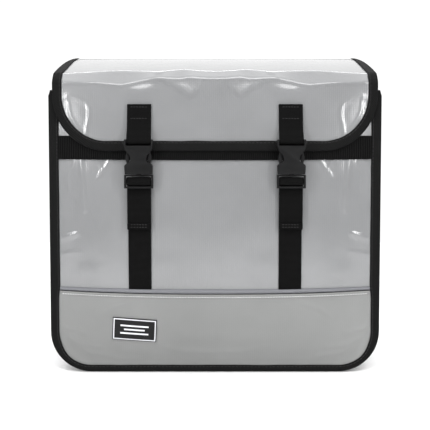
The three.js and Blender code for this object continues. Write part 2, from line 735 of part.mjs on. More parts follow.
function lowerRail() {
  const section = [
    [LOWER_WEB, -5], [LOWER_FLANGE, -5], [LOWER_FLANGE, -9], [LOWER_FACE, -9],
    [LOWER_FACE, 9], [LOWER_FLANGE, 9], [LOWER_FLANGE, 5], [LOWER_WEB, 5],
  ].map(([y, z]) => [y, z + LOWER_RAIL_Z]);
  return cut(sidePlate(section, LOWER_RAIL_LENGTH), ...rivetHoles());
}

function lowerSlider() {
  const [lipFront, lipBack] = [LOWER_WEB + 0.2, LOWER_FLANGE - GAP];
  const inside = LOWER_FACE + GAP;
  const half = 12;
  const upperLip = [
    [inside, 9 + GAP], [lipBack, 9 + GAP], [lipBack, 5.6], [lipFront, 5.6], [lipFront, half],
  ];
  const lowerLip = upperLip.map(([y, z]) => [y, -z]).reverse();
  const section = [...upperLip, [SLIDER_FACE, half], [SLIDER_FACE, -half], ...lowerLip]
    .map(([y, z]) => [y, z + LOWER_RAIL_Z]);
  return cut(sidePlate(section, 28), barY(SCREW_HOLE_R, inside - 1, 120, 0, LOWER_RAIL_Z));
}

// A catch that swings on the slider and clips round a rack strut.
function lowerHook() {
  const shape = new THREE.Shape();
  shape.absarc(0, 0, 8, 0, Math.PI);
  shape.lineTo(-8, -40);
  shape.absarc(4, -40, 12, Math.PI, 2 * Math.PI);
  shape.lineTo(16, -30);
  shape.lineTo(12, -28);
  shape.lineTo(10, -40);
  shape.absarc(4, -40, 6, 0, -Math.PI, true);
  shape.lineTo(-2, -20);
  shape.lineTo(8, -12);
  shape.closePath();
  const plate = frontPlate(shape, LOWER_HOOK_THICK, 8);
  plate.translate(0, LOWER_HOOK_Y + LOWER_HOOK_THICK / 2, LOWER_RAIL_Z);
  return cut(plate, barY(SCREW_HOLE_R, 80, 120, 0, LOWER_RAIL_Z));
}

function lowerHookScrew() {
  const tip = LOWER_FACE + 2 * GAP;
  const face = LOWER_HOOK_Y + LOWER_HOOK_THICK + GAP;
  return turned([
    [0, tip], [SCREW_R, tip], [SCREW_R, face], [4.4, face], [4.4, face + 1.6], [0, face + 2.2],
  ]);
}

// ---- Carrying handle ----

const HANDLE_HALF = 58;
const HANDLE_Z = 331;
const HANDLE_BOW = 22;
const HANDLE_OPEN = 40; // the handle stands off the back within this distance of its middle
const HANDLE_THICK = 1.8;

function carryHandle() {
  const columns = 18;
  return sheet(columns, 1, (i, j, layer) => {
    const t = i / columns - 0.5;
    const x = -2 * HANDLE_HALF * t; // right to left, so that the outer face looks back
    const open = Math.max(0, 1 - (x / HANDLE_OPEN) ** 2);
    const y = PANEL_BACK_FACE + GAP + HANDLE_BOW * open + HANDLE_THICK * layer;
    return [x, y, HANDLE_Z + WEBBING * (j - 0.5)];
  });
}

function handleTab(side) {
  const thick = 1.2;
  const y = PANEL_BACK_FACE + 2 * GAP + HANDLE_THICK + thick / 2;
  return box(11, thick, WEBBING + 4, side * 52.5, y, HANDLE_Z);
}

// ---- Assembly ----

const pannier = new THREE.Group();

pannier.add(piece("front_panel_upper", upperPanel(), tarpaulin));
pannier.add(piece("front_panel_lower", lowerPanel(), lowerTarpaulin));
pannier.add(piece("seam_piping", seamPiping(), piping));
pannier.add(piece("gusset", gusset(), tarpaulin));
pannier.add(piece("back_panel", backPanel(), tarpaulin));
pannier.add(piece("front_binding", binding(-SEAM_Y, FRONT_TOP), tape));
pannier.add(piece("back_binding", binding(SEAM_Y, BACK_TOP), tape));
pannier.add(piece("front_rim_binding", frontRimBinding(), tape));
pannier.add(piece("left_rim_binding", sideRimBinding(-1), tape));
pannier.add(piece("right_rim_binding", sideRimBinding(1), tape));
pannier.add(piece("webbing_band", webbingBand(), webbing));
pannier.add(piece("label_patch", labelPatch(), rubber));
pannier.add(piece("back_board", backBoard(), board));
pannier.add(piece("base_board", baseBoard(), board));

pannier.add(piece("lid", lidSheet(), tarpaulin));
pannier.add(piece("lid_binding", lidBinding(), tape));

for (const [name, side] of [["left", -1], ["right", 1]]) {
  pannier.add(piece(`lower_strap_${name}`, lowerStrap(side), webbing));
  pannier.add(buckleSet(name, side));
  pannier.add(hookSet(name, side));
  pannier.add(piece(`handle_tab_${name}`, handleTab(side), tape));
}

pannier.add(piece("hook_rail", hookRail(), aluminium));
RAIL_RIVETS_X.forEach((x, i) => {
  const fastener = piece(`rail_rivet_${i + 1}`, rivet(RAIL_FACE), steel);
  fastener.position.set(x, 0, RAIL_Z);
  pannier.add(fastener);
});

pannier.add(piece("lower_rail", lowerRail(), plastic));
LOWER_RIVETS_X.forEach((x, i) => {
  const fastener = piece(`lower_rivet_${i + 1}`, rivet(LOWER_FACE), steel);
  fastener.position.set(x, 0, LOWER_RAIL_Z);
  pannier.add(fastener);
});
pannier.add(piece("lower_slider", lowerSlider(), plastic));
pannier.add(piece("lower_hook", lowerHook(), plastic));
const swivelScrew = piece("lower_hook_screw", lowerHookScrew(), steel);
swivelScrew.position.z = LOWER_RAIL_Z;
pannier.add(swivelScrew);

pannier.add(piece("carry_handle", carryHandle(), webbing));

export default pannier;
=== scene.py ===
import json
import math
import bpy
import numpy as np
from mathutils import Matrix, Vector


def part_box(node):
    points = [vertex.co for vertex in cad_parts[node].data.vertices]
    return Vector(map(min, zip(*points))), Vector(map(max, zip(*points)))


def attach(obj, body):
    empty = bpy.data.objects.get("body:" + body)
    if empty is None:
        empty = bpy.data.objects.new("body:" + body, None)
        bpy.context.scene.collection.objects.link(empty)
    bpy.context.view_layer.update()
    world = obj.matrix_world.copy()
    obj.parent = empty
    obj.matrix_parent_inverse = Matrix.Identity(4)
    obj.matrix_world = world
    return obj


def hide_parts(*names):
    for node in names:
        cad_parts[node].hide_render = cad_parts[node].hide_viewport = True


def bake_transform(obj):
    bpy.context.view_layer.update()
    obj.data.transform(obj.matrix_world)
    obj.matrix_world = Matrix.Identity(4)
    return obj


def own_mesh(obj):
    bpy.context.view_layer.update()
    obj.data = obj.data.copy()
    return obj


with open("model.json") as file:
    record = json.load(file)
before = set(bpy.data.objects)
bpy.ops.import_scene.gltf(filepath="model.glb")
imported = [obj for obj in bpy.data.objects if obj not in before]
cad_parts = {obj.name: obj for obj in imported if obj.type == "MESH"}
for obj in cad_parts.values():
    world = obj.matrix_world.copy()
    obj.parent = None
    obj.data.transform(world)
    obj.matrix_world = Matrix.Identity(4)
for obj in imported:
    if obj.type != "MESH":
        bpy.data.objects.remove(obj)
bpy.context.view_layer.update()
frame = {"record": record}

MM = 0.001

# ---- Sizes read from the frame, in metres ----

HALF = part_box("front_binding")[1].x
FRONT_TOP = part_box("front_binding")[1].z
BACK_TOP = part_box("back_binding")[1].z
SEAM_Y = (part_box("back_binding")[0].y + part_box("back_binding")[1].y) / 2
PANEL_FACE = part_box("back_panel")[1].y
PANEL_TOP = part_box("front_panel_upper")[1].z
SEAM_Z = 88 * MM
LID_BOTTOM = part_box("lid_binding")[0].z
BUCKLE_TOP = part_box("buckle_female_left")[1].z
BUCKLE_X = (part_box("buckle_female_right")[0].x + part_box("buckle_female_right")[1].x) / 2
BUCKLE_Y = (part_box("buckle_female_left")[0].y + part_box("buckle_female_left")[1].y) / 2
TAIL_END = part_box("strap_tail_left")[0].z
UPPER_STRAP_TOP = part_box("upper_strap_left")[1].z
HINGE_Y, HINGE_Z = 80.7 * MM, 354 * MM

# ---- Sizes of the soft goods, the same as the design's ----

CORNER_R = 44 * MM
BINDING = 9.5 * MM
BACK_BINDING = 9.2 * MM
LID_BINDING = 10.5 * MM
LID_CORNER_R = 60 * MM
LID_PLANE = 85.1 * MM
LID_HALF_FRONT = 172.5 * MM
LID_HALF_BACK = 176.5 * MM
FULLNESS = 20 * MM
FULLEST_Z = 130 * MM
FULL_BELOW = 120 * MM
FULL_ABOVE = 222 * MM
SWELL_POWER = 2.6
SHEET = 1.0 * MM
WEBBING = 25 * MM
STRAP = 1.4 * MM

BODY_OF = {n: b for b, nodes in frame["record"]["behaviour"]["bodies"].items() for n in nodes}
SLOT_OF = {part["node"]: part["material_slot"] for part in frame["record"]["subparts"]}


# ---- Materials ----

class Paint:
    """A material with a Principled shader, and short ways to add texture nodes to it."""

    def __init__(self, name, rough, metal=0.0, coat=0.0, specular=0.5):
        self.material = bpy.data.materials.new(name)
        self.material.use_nodes = True
        self.tree = self.material.node_tree
        self.shader = self.tree.nodes["Principled BSDF"]
        self.shader.inputs["Roughness"].default_value = rough
        self.shader.inputs["Metallic"].default_value = metal
        self.shader.inputs["Coat Weight"].default_value = coat
        self.shader.inputs["Coat Roughness"].default_value = 0.12
        self.shader.inputs["Specular IOR Level"].default_value = specular
        self.where = self.node("ShaderNodeTexCoord").outputs["Object"]

    def node(self, kind, **settings):
        made = self.tree.nodes.new(kind)
        for key, value in settings.items():
            setattr(made, key, value)
        return made

    def link(self, source, target):
        self.tree.links.new(source, target)

    def stretched(self, scale):
        mapping = self.node("ShaderNodeMapping")
        mapping.inputs["Scale"].default_value = scale
        self.link(self.where, mapping.inputs["Vector"])
        return mapping.outputs["Vector"]

    def noise(self, scale, detail=3.0, stretch=(1, 1, 1), rough=0.55):
        made = self.node("ShaderNodeTexNoise")
        made.inputs["Scale"].default_value = scale
        made.inputs["Detail"].default_value = detail
        made.inputs["Roughness"].default_value = rough
        self.link(self.stretched(stretch), made.inputs["Vector"])
        return made.outputs["Fac"]

    def ribs(self, pitch, axis, wobble=0.0, detail_scale=1.0):
        """Ridges one pitch apart along an axis."""
        made = self.node("ShaderNodeTexWave", bands_direction=axis, wave_profile="SIN")
        made.inputs["Scale"].default_value = 2 * math.pi / (20 * pitch)
        made.inputs["Distortion"].default_value = wobble
        made.inputs["Detail Scale"].default_value = detail_scale
        self.link(self.where, made.inputs["Vector"])
        return made.outputs["Fac"]

    def math(self, operation, a, b):
        made = self.node("ShaderNodeMath", operation=operation)
        for socket, value in zip(made.inputs, (a, b)):
            if isinstance(value, (int, float)):
                socket.default_value = value
            else:
                self.link(value, socket)
        return made.outputs[0]

    def ramp(self, factor, *stops):
        made = self.node("ShaderNodeValToRGB")
        elements = made.color_ramp.elements
        while len(elements) < len(stops):
            elements.new(0.5)
        for element, (position, colour) in zip(elements, stops):
            element.position = position
            element.color = (*colour, 1)
        self.link(factor, made.inputs["Fac"])
        return made.outputs["Color"]

    def colour(self, factor, *stops):
        self.link(self.ramp(factor, *stops), self.shader.inputs["Base Color"])

    def roughness(self, factor, low, high):
        spread = self.node("ShaderNodeMapRange")
        spread.inputs["To Min"].default_value = low
        spread.inputs["To Max"].default_value = high
        self.link(factor, spread.inputs["Value"])
        self.link(spread.outputs["Result"], self.shader.inputs["Roughness"])

    def bumps(self, *layers):
        """Each layer is (height, depth in metres, strength); they build on each other."""
        normal = None
        for height, depth, strength in layers:
            bump = self.node("ShaderNodeBump")
            bump.inputs["Distance"].default_value = depth
            bump.inputs["Strength"].default_value = strength
            self.link(height, bump.inputs["Height"])
            if normal is not None:
                self.link(normal, bump.inputs["Normal"])
            normal = bump.outputs["Normal"]
        self.link(normal, self.shader.inputs["Normal"])
        return self.material


COOL = (0.985, 1.0, 1.02)
GREENISH = (0.994, 1.008, 0.994)
BLUISH = (0.98, 0.99, 1.03)
PIPING_BLUE = (0.97, 0.985, 1.06)


def grey(value, tint=(1.0, 1.0, 1.0)):
    """A linear colour from a 0-255 sRGB level."""
    level = value / 255
    linear = level / 12.92 if level <= 0.04045 else ((level + 0.055) / 1.055) ** 2.4
    return tuple(linear * part for part in tint)


def tarpaulin(name, level, rough, rib_depth, coat):
    paint = Paint(name, rough, coat=coat)
    tint = COOL if coat else GREENISH
    paint.colour(paint.noise(9, 4), (0.3, grey(level - 5, tint)), (0.7, grey(level + 4, tint)))
    paint.roughness(paint.noise(40, 3), rough - 0.05, rough + 0.07)
    ribs = paint.ribs(2.1 * MM, "X", 0.6, 0.3)
    cross = paint.ribs(2.3 * MM, "Z", 0.6, 0.3)
    return paint.bumps(
        (ribs, rib_depth, 0.5),
        (cross, rib_depth * 0.4, 0.3),
        (paint.noise(420, 3), 0.04 * MM, 0.25),
        (paint.noise(26, 3), 0.5 * MM, 0.22),
    )


def woven_tape(name, level, tint=(1, 1, 1)):
    paint = Paint(name, 0.72, specular=0.06)
    weave = paint.math("MULTIPLY", paint.noise(900, 2), paint.ribs(1.3 * MM, "DIAGONAL", 1.5))
    paint.colour(weave, (0.1, grey(level - 9, tint)), (0.75, grey(level + 12, tint)))
    return paint.bumps((weave, 0.25 * MM, 0.6), (paint.noise(60, 2), 0.5 * MM, 0.3))


def ribbed_webbing(name, level, across, pitch=2.0, contrast=1.0):
    """Webbing whose ribs are laid side by side along the across axis."""
    paint = Paint(name, 0.68, specular=0.03)
    ribs = paint.ribs(pitch * MM, across, 0.2)
    picks = paint.ribs(0.9 * MM, "Z" if across == "X" else "X", 0.4)
    threads = paint.math("MULTIPLY", ribs, paint.math("ADD", picks, 0.6))
    paint.colour(threads, (0.1, grey(level - 9 * contrast)), (0.9, grey(level + 14 * contrast)))
    return paint.bumps(
        (ribs, 0.35 * MM, 0.7),
        (picks, 0.12 * MM, 0.4),
        (paint.noise(700, 2), 0.06 * MM, 0.4),
    )


def moulded(name, level, rough):
    paint = Paint(name, rough, specular=0.16)
    paint.colour(paint.noise(30, 2), (0.3, grey(level - 3, BLUISH)), (0.7, grey(level + 4, BLUISH)))
    return paint.bumps((paint.noise(1500, 2), 0.03 * MM, 0.35), (paint.noise(80, 2), 0.1 * MM, 0.15))


def metal(name, level, rough):
    paint = Paint(name, rough, metal=1.0)
    paint.colour(paint.noise(60, 3), (0.3, grey(level - 10)), (0.7, grey(level + 8)))
    return paint.bumps((paint.noise(300, 2, (1, 40, 40)), 0.04 * MM, 0.3),)


MATERIALS = {
    "tarpaulin": tarpaulin("tarpaulin", 128, 0.15, 0.075 * MM, 0.5),
    "tarpaulin_matte": tarpaulin("tarpaulin_matte", 124, 0.42, 0.05 * MM, 0.0),
    "binding_tape": woven_tape("binding_tape", 21),
    "webbing": ribbed_webbing("webbing", 11, "X"),
    "strap_webbing": ribbed_webbing("strap_webbing", 12, "Z", 1.2, 0.6),
    "buckle_plastic": moulded("buckle_plastic", 16, 0.45),
    "seam_piping": woven_tape("seam_piping", 120, PIPING_BLUE),
    "label_rubber": moulded("label_rubber", 26, 0.5),
    "board_plastic": moulded("board_plastic", 46, 0.6),
    "fastener_steel": metal("fastener_steel", 165, 0.35),
    "rail_aluminium": metal("rail_aluminium", 70, 0.4),
    "hook_plastic": moulded("hook_plastic", 34, 0.5),
    "thread": woven_tape("thread", 52),
    "pale_thread": woven_tape("pale_thread", 225),
    "label_print": moulded("label_print", 225, 0.5),
}


# ---- Meshes ----

def add_object(name, data):
    made = bpy.data.objects.new(name, data)
    bpy.context.scene.collection.objects.link(made)
    return made


def make_object(name, points, faces, material, smooth=True):
    mesh = bpy.data.meshes.new(name)
    mesh.from_pydata([tuple(map(float, p)) for p in points], [], faces)
    mesh.validate()
    mesh.materials.append(MATERIALS[material])
    made = add_object(name, mesh)
    mesh.polygons.foreach_set("use_smooth", [smooth] * len(mesh.polygons))
    return made


def sharpen(obj, degrees=40):
    """Smooth shading that keeps the edges sharper than an angle."""
    obj.data.set_sharp_from_angle(angle=math.radians(degrees))
    return obj


def normals_of(grid):
    """Unit normals of a grid of points; rows run upwards and columns to the right, facing out."""
    down = np.gradient(grid, axis=0)
    across = np.gradient(grid, axis=1)
    normal = np.cross(across, down)
    length = np.linalg.norm(normal, axis=2, keepdims=True)
    return normal / np.maximum(length, 1e-12)


def shell(name, grid, thickness, material):
    """A closed sheet whose outer face is the grid of points."""
    rows, columns = grid.shape[:2]
    inner = grid - normals_of(grid) * thickness
    points = np.concatenate([grid.reshape(-1, 3), inner.reshape(-1, 3)])
    shift = rows * columns
    index = np.arange(shift).reshape(rows, columns)
    back = index + shift
    quads = np.stack([index[:-1, :-1], index[:-1, 1:], index[1:, 1:], index[1:, :-1]], axis=2).reshape(-1, 4)
    inside = np.stack([back[:-1, :-1], back[1:, :-1], back[1:, 1:], back[:-1, 1:]], axis=2).reshape(-1, 4)
    ring = np.concatenate([index[0, :], index[1:, -1], index[-1, -2::-1], index[-2:0:-1, 0]])
    onward = np.roll(ring, -1)
    rim = np.stack([ring, ring + shift, onward + shift, onward], axis=1)
    faces = np.concatenate([quads, inside, rim]).tolist()
    return sharpen(make_object(name, points, faces, material))


def loft(name, rings, material, degrees=40):
    """A closed bar through rings of points, with flat ends."""
    count, around = rings.shape[:2]
    index = np.arange(count * around).reshape(count, around)
    side = np.roll(index, -1, axis=1)
    quads = np.stack([index[:-1], side[:-1], side[1:], index[1:]], axis=2).reshape(-1, 4).tolist()
    quads.append(index[0, ::-1].tolist())
    quads.append(index[-1].tolist())
    made = make_object(name, rings.reshape(-1, 3), quads, material)
    outward(made)
    return sharpen(made, degrees)


def outward(obj):
    """Turns a closed mesh's faces to look out."""
    mesh = obj.data
    mesh.calc_loop_triangles()
    co = np.array([v.co for v in mesh.vertices])
    tri = np.array([t.vertices for t in mesh.loop_triangles])
    a, b, c = co[tri[:, 0]], co[tri[:, 1]], co[tri[:, 2]]
    volume = float(np.einsum("ij,ij->i", a, np.cross(b, c)).sum())
    if volume < 0:
        mesh.flip_normals()


def settle(obj, body, nodes=()):
    """Puts a finished piece on its body, in place of the CAD nodes that it stands for."""
    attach(obj, body)
    if nodes:
        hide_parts(*nodes)


def smoothstep(low, high, value):
    t = np.clip((value - low) / (high - low), 0, 1)
    return t * t * (3 - 2 * t)


def hump(x, z, at_x, at_z, wide, tall, lean=0.0):
    """A soft mound of height 1 at a point, leaning by an angle."""
    dx, dz = x - at_x * MM, z - at_z * MM
    turn = math.radians(lean)
    along = dx * math.cos(turn) + dz * math.sin(turn)
    over = -dx * math.sin(turn) + dz * math.cos(turn)
    return np.exp(-((along / (wide * MM)) ** 2) - (over / (tall * MM)) ** 2)


def mirrored_humps(x, z, humps):
    """Humps given for the left side, (x, z, wide, tall, lean, height in mm), on both sides."""
    total = np.zeros(np.broadcast(x, z).shape)
    for at_x, at_z, wide, tall, lean, height in humps:
        total += height * MM * hump(-np.abs(x), z, at_x, at_z, wide, tall, lean)
    return total


def mirrored_creases(x, z, creases):
    """Thin folds given for the left side: points, height, width left of the line and width right of it."""
    across, total = -np.abs(x), np.zeros(np.broadcast(x, z).shape)
    for points, height, left, right in creases:
        points = np.array(points, float) * MM
        nearest = np.full(total.shape, np.inf)
        side = np.zeros(total.shape)
        ends = np.zeros(total.shape)
        lengths = np.linalg.norm(np.diff(points, axis=0), axis=1)
        starts = np.concatenate([[0], np.cumsum(lengths)])
        for (ax, az), (bx, bz), length, start in zip(points[:-1], points[1:], lengths, starts):
            tx, tz = (bx - ax) / length, (bz - az) / length
            along = np.clip((across - ax) * tx + (z - az) * tz, 0, length)
            off_x, off_z = across - ax - along * tx, z - az - along * tz
            distance = np.hypot(off_x, off_z)
            closer = distance < nearest
            side = np.where(closer, tx * off_z - tz * off_x, side)
            ends = np.where(closer, start + along, ends)
            nearest = np.minimum(nearest, distance)
        width = np.where(side > 0, left, right) * MM
        fade = np.sin(math.pi * np.clip(0.06 + 0.88 * ends / starts[-1], 0, 1)) ** 0.5
        total += height * MM * fade * np.exp(-((nearest / width) ** 2))
    return total


# ---- The swollen front ----

PANEL_CREASES = [
    ([(-149.4, 232), (-149.4, 226), (-150.5, 221), (-155, 216), (-157.2, 212), (-156.8, 204), (-155.6, 196)],
     0.5, 1.7, 2.4),
    ([(-108, 232), (-111, 228), (-116.8, 219.5), (-120, 215.5), (-123.6, 209)], 0.5, 1.6, 1.9),
    ([(-128, 233), (-126, 229.4), (-121.2, 224.5), (-119.3, 219.5), (-120, 212)], 0.45, 1.6, 1.6),
    ([(-164, 145.5), (-156, 148), (-146, 151.5)], 0.7, 2.0, 3.4),
    ([(-142, 232), (-141, 214), (-139, 196), (-138, 176)], 0.8, 2.4, 3.4),
    ([(-164, 128), (-154, 130), (-144, 131.5)], 0.4, 1.8, 3.0),
]
LOWER_CREASES = [
    ([(-168, 52), (-158, 47), (-140, 43)], 0.8, 2.4, 3.2),
    ([(-152, 30), (-135, 22), (-110, 18)], 1.0, 2.6, 3.6),
    ([(-160, 38), (-140, 30), (-120, 27)], 0.7, 2.4, 3.2),
    ([(-124, 62), (-112, 71), (-98, 76), (-84, 80)], 0.6, 2.4, 3.0),
    ([(-60, 30), (-30, 24), (10, 22)], 0.5, 2.6, 3.4),
]
PANEL_HUMPS = [
    (-138, 212, 16, 24, 0, 0.9), (-100, 190, 20, 34, 0, 0.8), (-158, 140, 10, 22, 0, 0.5),
    (-40, 190, 40, 45, 0, 0.8), (-150, 180, 8, 14, 0, -0.4), (-60, 112, 40, 16, 4, 0.5),
    (-135, 106, 20, 12, 0, 0.5),
]
LOWER_HUMPS = [
    (-150, 34, 20, 4, -38, 0.8), (-138, 24, 24, 4, -28, -0.6), (-120, 70, 34, 8, 8, 0.7),
    (-60, 62, 26, 14, -10, 0.6), (-20, 40, 34, 8, 3, 0.6), (-95, 18, 40, 5, -6, -0.5),
]


def swell(x, z):
    """How far the loaded front stands out of its flat shape."""
    across = 1 - np.minimum(1, np.abs(x) / (HALF - BINDING)) ** SWELL_POWER
    fade = np.where(z < FULLEST_Z, FULL_BELOW, FULL_ABOVE)
    up_down = 1 - np.minimum(1, np.abs(z - FULLEST_Z) / fade) ** SWELL_POWER
    return FULLNESS * across * up_down


def calm(x, z, margin=12):
    """0 in the bindings, 1 well inside them."""
    side = smoothstep(BINDING, BINDING + margin * MM, HALF - np.abs(x))
    foot = smoothstep(BINDING, BINDING + margin * MM, z)
    return side * foot * corner_room(x, z)


def corner_room(x, z):
    """0 at the binding round the bottom corners, 1 well inside them."""
    right = np.maximum(0, np.abs(x) - (HALF - CORNER_R))
    down = np.maximum(0, CORNER_R - z)
    inside = CORNER_R - BINDING - np.hypot(right, down)
    in_corner = (right > 0) & (down > 0)
    return np.where(in_corner, np.clip(inside / (10 * MM), 0, 1), 1)


def front_depth(x, z):
    """How far the front's outer face stands from the middle of the bag."""
    above = np.max(z) > SEAM_Z + 4 * MM
    humps, creases = (PANEL_HUMPS, PANEL_CREASES) if above else (LOWER_HUMPS, LOWER_CREASES)
    crumple = mirrored_humps(x, z, humps) * calm(x, z) + mirrored_creases(x, z, creases) * calm(x, z, 4)
    return PANEL_FACE + swell(x, z) * corner_room(x, z) + crumple


def outline_half(z, inset):
    """Half the front's width at a height, inside an inset from its outer edge."""
    flat = HALF - CORNER_R
    r = CORNER_R - inset
    below = np.maximum(0, CORNER_R - z)
    return flat + np.sqrt(np.maximum(0, r * r - below * below))


def seam_height(x):
    """The cross seam rises a little towards the sides."""
    return SEAM_Z + 1.4 * MM * (x / HALF) ** 2


def upper_panel():
    inset = 1.6 * MM
    u = np.linspace(-1, 1, 280)
    v = np.linspace(0, 1, 170)
    x = np.tile(u * (HALF - inset), (len(v), 1))
    low = seam_height(x) + 2.4 * MM
    z = low + (PANEL_TOP - low) * v[:, None]
    grid = np.stack([x, -front_depth(x, z), z], axis=2)
    piece = shell("upper_panel", grid, SHEET, "tarpaulin")
    settle(piece, "bag", ["front_panel_upper"])


def lower_panel():
    """The lower panel, with its top edge folded over and lying on the seam."""
    inset = 1.6 * MM
    top = SEAM_Z - 0.6 * MM
    angles = np.linspace(0, math.pi / 2, 26)
    corner = CORNER_R - (CORNER_R - inset) * np.cos(angles)
    z_rows = np.concatenate([corner[:-1], np.linspace(CORNER_R, top, 34)])
    u = np.linspace(-1, 1, 240)
    z = np.tile(z_rows[:, None], (1, len(u)))
    x = u * outline_half(z, inset)
    z = z + smoothstep(CORNER_R, top, z) * (seam_height(x) - SEAM_Z)
    z = np.minimum(z, seam_height(x) - 0.5 * MM)
    fold = smoothstep(top - 4.2 * MM, top - 1.6 * MM, z - seam_height(x) + SEAM_Z)
    lip = 1.5 * MM * fold * calm(x, z, 3)
    grid = np.stack([x, -(front_depth(x, z) + lip), z], axis=2)
    piece = shell("lower_panel", grid, 1.6 * SHEET, "tarpaulin_matte")
    settle(piece, "bag", ["front_panel_lower"])
    row = np.linspace(-1, 1, 90) * (HALF - BINDING - 3 * MM)
    row_z = seam_height(row) - 3.6 * MM
    line = np.stack([row, -(front_depth(row, row_z) + 1.3 * MM), row_z], axis=1)
    stitches("seam_topstitch", line, facing((0, -1, 0), line), "bag", 2.9, 1.7, 0.42, "pale_thread")


def seam_piping():
    x = np.linspace(-1, 1, 160) * (HALF - BINDING - 1.9 * MM)
    tall = (1.6 + 0.7 * (1 - (x / HALF) ** 2)) * MM
    angle = np.linspace(0, 2 * math.pi, 18, endpoint=False)
    z = (seam_height(x) + 0.4 * MM + tall)[:, None] + tall[:, None] * np.sin(angle)
    proud = (PANEL_FACE + 1.0 * MM + swell(x, seam_height(x)))[:, None]
    y = -proud + 2.1 * MM * np.cos(angle)
    rings = np.stack([np.tile(x[:, None], (1, len(angle))), y, z], axis=2)
    settle(loft("cross_seam_piping", rings, "seam_piping"), "bag", ["seam_piping"])


# ---- Stitching ----

def facing(direction, line):
    """The same direction for each point of a line."""
    return np.tile(np.array(direction, float), (len(line), 1))


def stitches(name, line, normal, body, pitch=4.0, length=3.0, radius=0.32, material="thread"):
    """A row of stitches along a line of points; normal points out of the cloth at each."""
    step = np.linalg.norm(np.diff(line, axis=0), axis=1)
    run = np.concatenate([[0], np.cumsum(step)])
    starts = np.arange(0.5 * pitch * MM, run[-1] - pitch * MM, pitch * MM)
    sides = np.linspace(0, 2 * math.pi, 5, endpoint=False)
    points, faces = [], []
    for start in starts:
        ring_start = len(points)
        for share, thick in ((0.0, 0.35), (0.25, 1.0), (0.75, 1.0), (1.0, 0.35)):
            at = start + share * length * MM
            centre = np.array([np.interp(at, run, line[:, k]) for k in range(3)])
            out = np.array([np.interp(at, run, normal[:, k]) for k in range(3)])
            ahead = np.array([np.interp(at + 0.5 * MM, run, line[:, k]) for k in range(3)]) - centre
            beside = np.cross(out, ahead)
            beside /= max(np.linalg.norm(beside), 1e-9)
            for a in sides:
                offset = math.cos(a) * beside * 1.2 + math.sin(a) * out
                points.append(centre + thick * radius * MM * offset)
        n = len(sides)
        for r in range(3):
            for k in range(n):
                a, b = ring_start + r * n + k, ring_start + r * n + (k + 1) % n
                faces.append([a, b, b + n, a + n])
        faces.append([ring_start + k for k in range(n)][::-1])
        faces.append([ring_start + 3 * n + k for k in range(n)])
    made = make_object(name, points, faces, material)
    outward(made)
    settle(made, body)


# ---- Edge bindings ----

def unevenness(seed, count):
    """Smoothed random numbers, the same in each run, for a sewn tape's width."""
    draws = np.random.default_rng(seed).normal(size=count + 8)
    return np.convolve(draws, np.ones(5) / 5, "same")[4:-4]


def tape_section(width, half, slot):
    """A folded tape's section, (inset, out), round the closed outer edge and back inside."""
    turn = np.linspace(-math.pi / 2, math.pi / 2, 7)
    nose = [(half * 0.75 * (1 - math.cos(a)), half * math.sin(a)) for a in turn]
    legs = [(1.0, half * 1.0), (1.0, slot), (0.18, slot), (0.18, -slot), (1.0, -slot), (1.0, -half)]
    outer = [(width * 0.5, -half * 1.03)] + nose + [(width * 0.5, half * 1.03)]
    return outer, legs


def edge_path(top):
    """Stations round a panel's edge, from its top left to its top right.

    Each is (side, kind, value): the value is a height on a side, an angle in a corner, and a share of
    the flat's half length at the bottom.
    """
    side = [("side", z) for z in np.linspace(top, CORNER_R, 44)]
    corner = [("corner", a) for a in np.linspace(0, math.pi / 2, 18)[1:]]
    bottom = [("bottom", s) for s in np.linspace(1, 0, 26)[1:]]
    left = [(-1, kind, value) for kind, value in side + corner + bottom]
    right = [(1, kind, value) for _, kind, value in left[:-1]]
    return left + right[::-1]


def edge_point(station, inset):
    """The (x, z) of a station, at an inset from the panel's edge."""
    side, kind, value = station
    flat = HALF - CORNER_R
    r = CORNER_R - inset
    if kind == "side":
        return side * (HALF - inset), value
    if kind == "corner":
        return side * (flat + r * math.cos(value)), CORNER_R - r * math.sin(value)
    return side * flat * value, inset


def front_binding_width(z):
    """The front binding is broad beside the upper panel and narrower round the lower one."""
    upper = smoothstep(SEAM_Z - 5 * MM, SEAM_Z + 2 * MM, z)
    foot = 1 - smoothstep(6 * MM, 30 * MM, z)
    return (9.5 + 1.5 * upper - 2.1 * foot) * MM


def edge_binding(name, node, seam_y, top, width_at):
    half, slot = 2.3 * MM, 1.5 * MM
    stations = edge_path(top)
    wave = unevenness(7, len(stations))
    rings, line, out = [], [], []
    for k, station in enumerate(stations):
        z = edge_point(station, 0)[1]
        width = width_at(z) + 0.22 * MM * wave[k]
        outer, legs = tape_section(width, half + 0.08 * MM * wave[k], slot)
        section = outer + [(share * width, o) for share, o in legs]
        taper = 2.2 * MM * max(0, (z - top + 9 * MM) / (9 * MM)) ** 2
        ring = [(*edge_point(station, max(inset, taper)), o) for inset, o in section]
        rings.append([(px, seam_y - o, pz) for px, pz, o in ring])
        px, pz = edge_point(station, width - 1.9 * MM)
        line.append((px, seam_y - half * 1.03, pz))
        out.append((0, -1, 0))
    settle(loft(name, np.array(rings), "binding_tape", 50), "bag", [node])
    line, out = np.array(line), np.array(out, float)
    stitches(name + "_stitches_front", line, out, "bag")
    back_line = line * (1, 0, 1) + (0, seam_y + half * 1.03, 0)
    stitches(name + "_stitches_back", back_line, -out, "bag")


# ---- Gusset, back and rims ----

RIM = np.array([[-80, 303], [-72, 312], [-55, 319.5], [-21, 329], [3.5, 335], [29.5, 341.1], [55, 345.7],
                [80, 349.5]]) * MM


def rim_height(y):
    return np.interp(y, RIM[:, 0], RIM[:, 1]) - 2 * MM


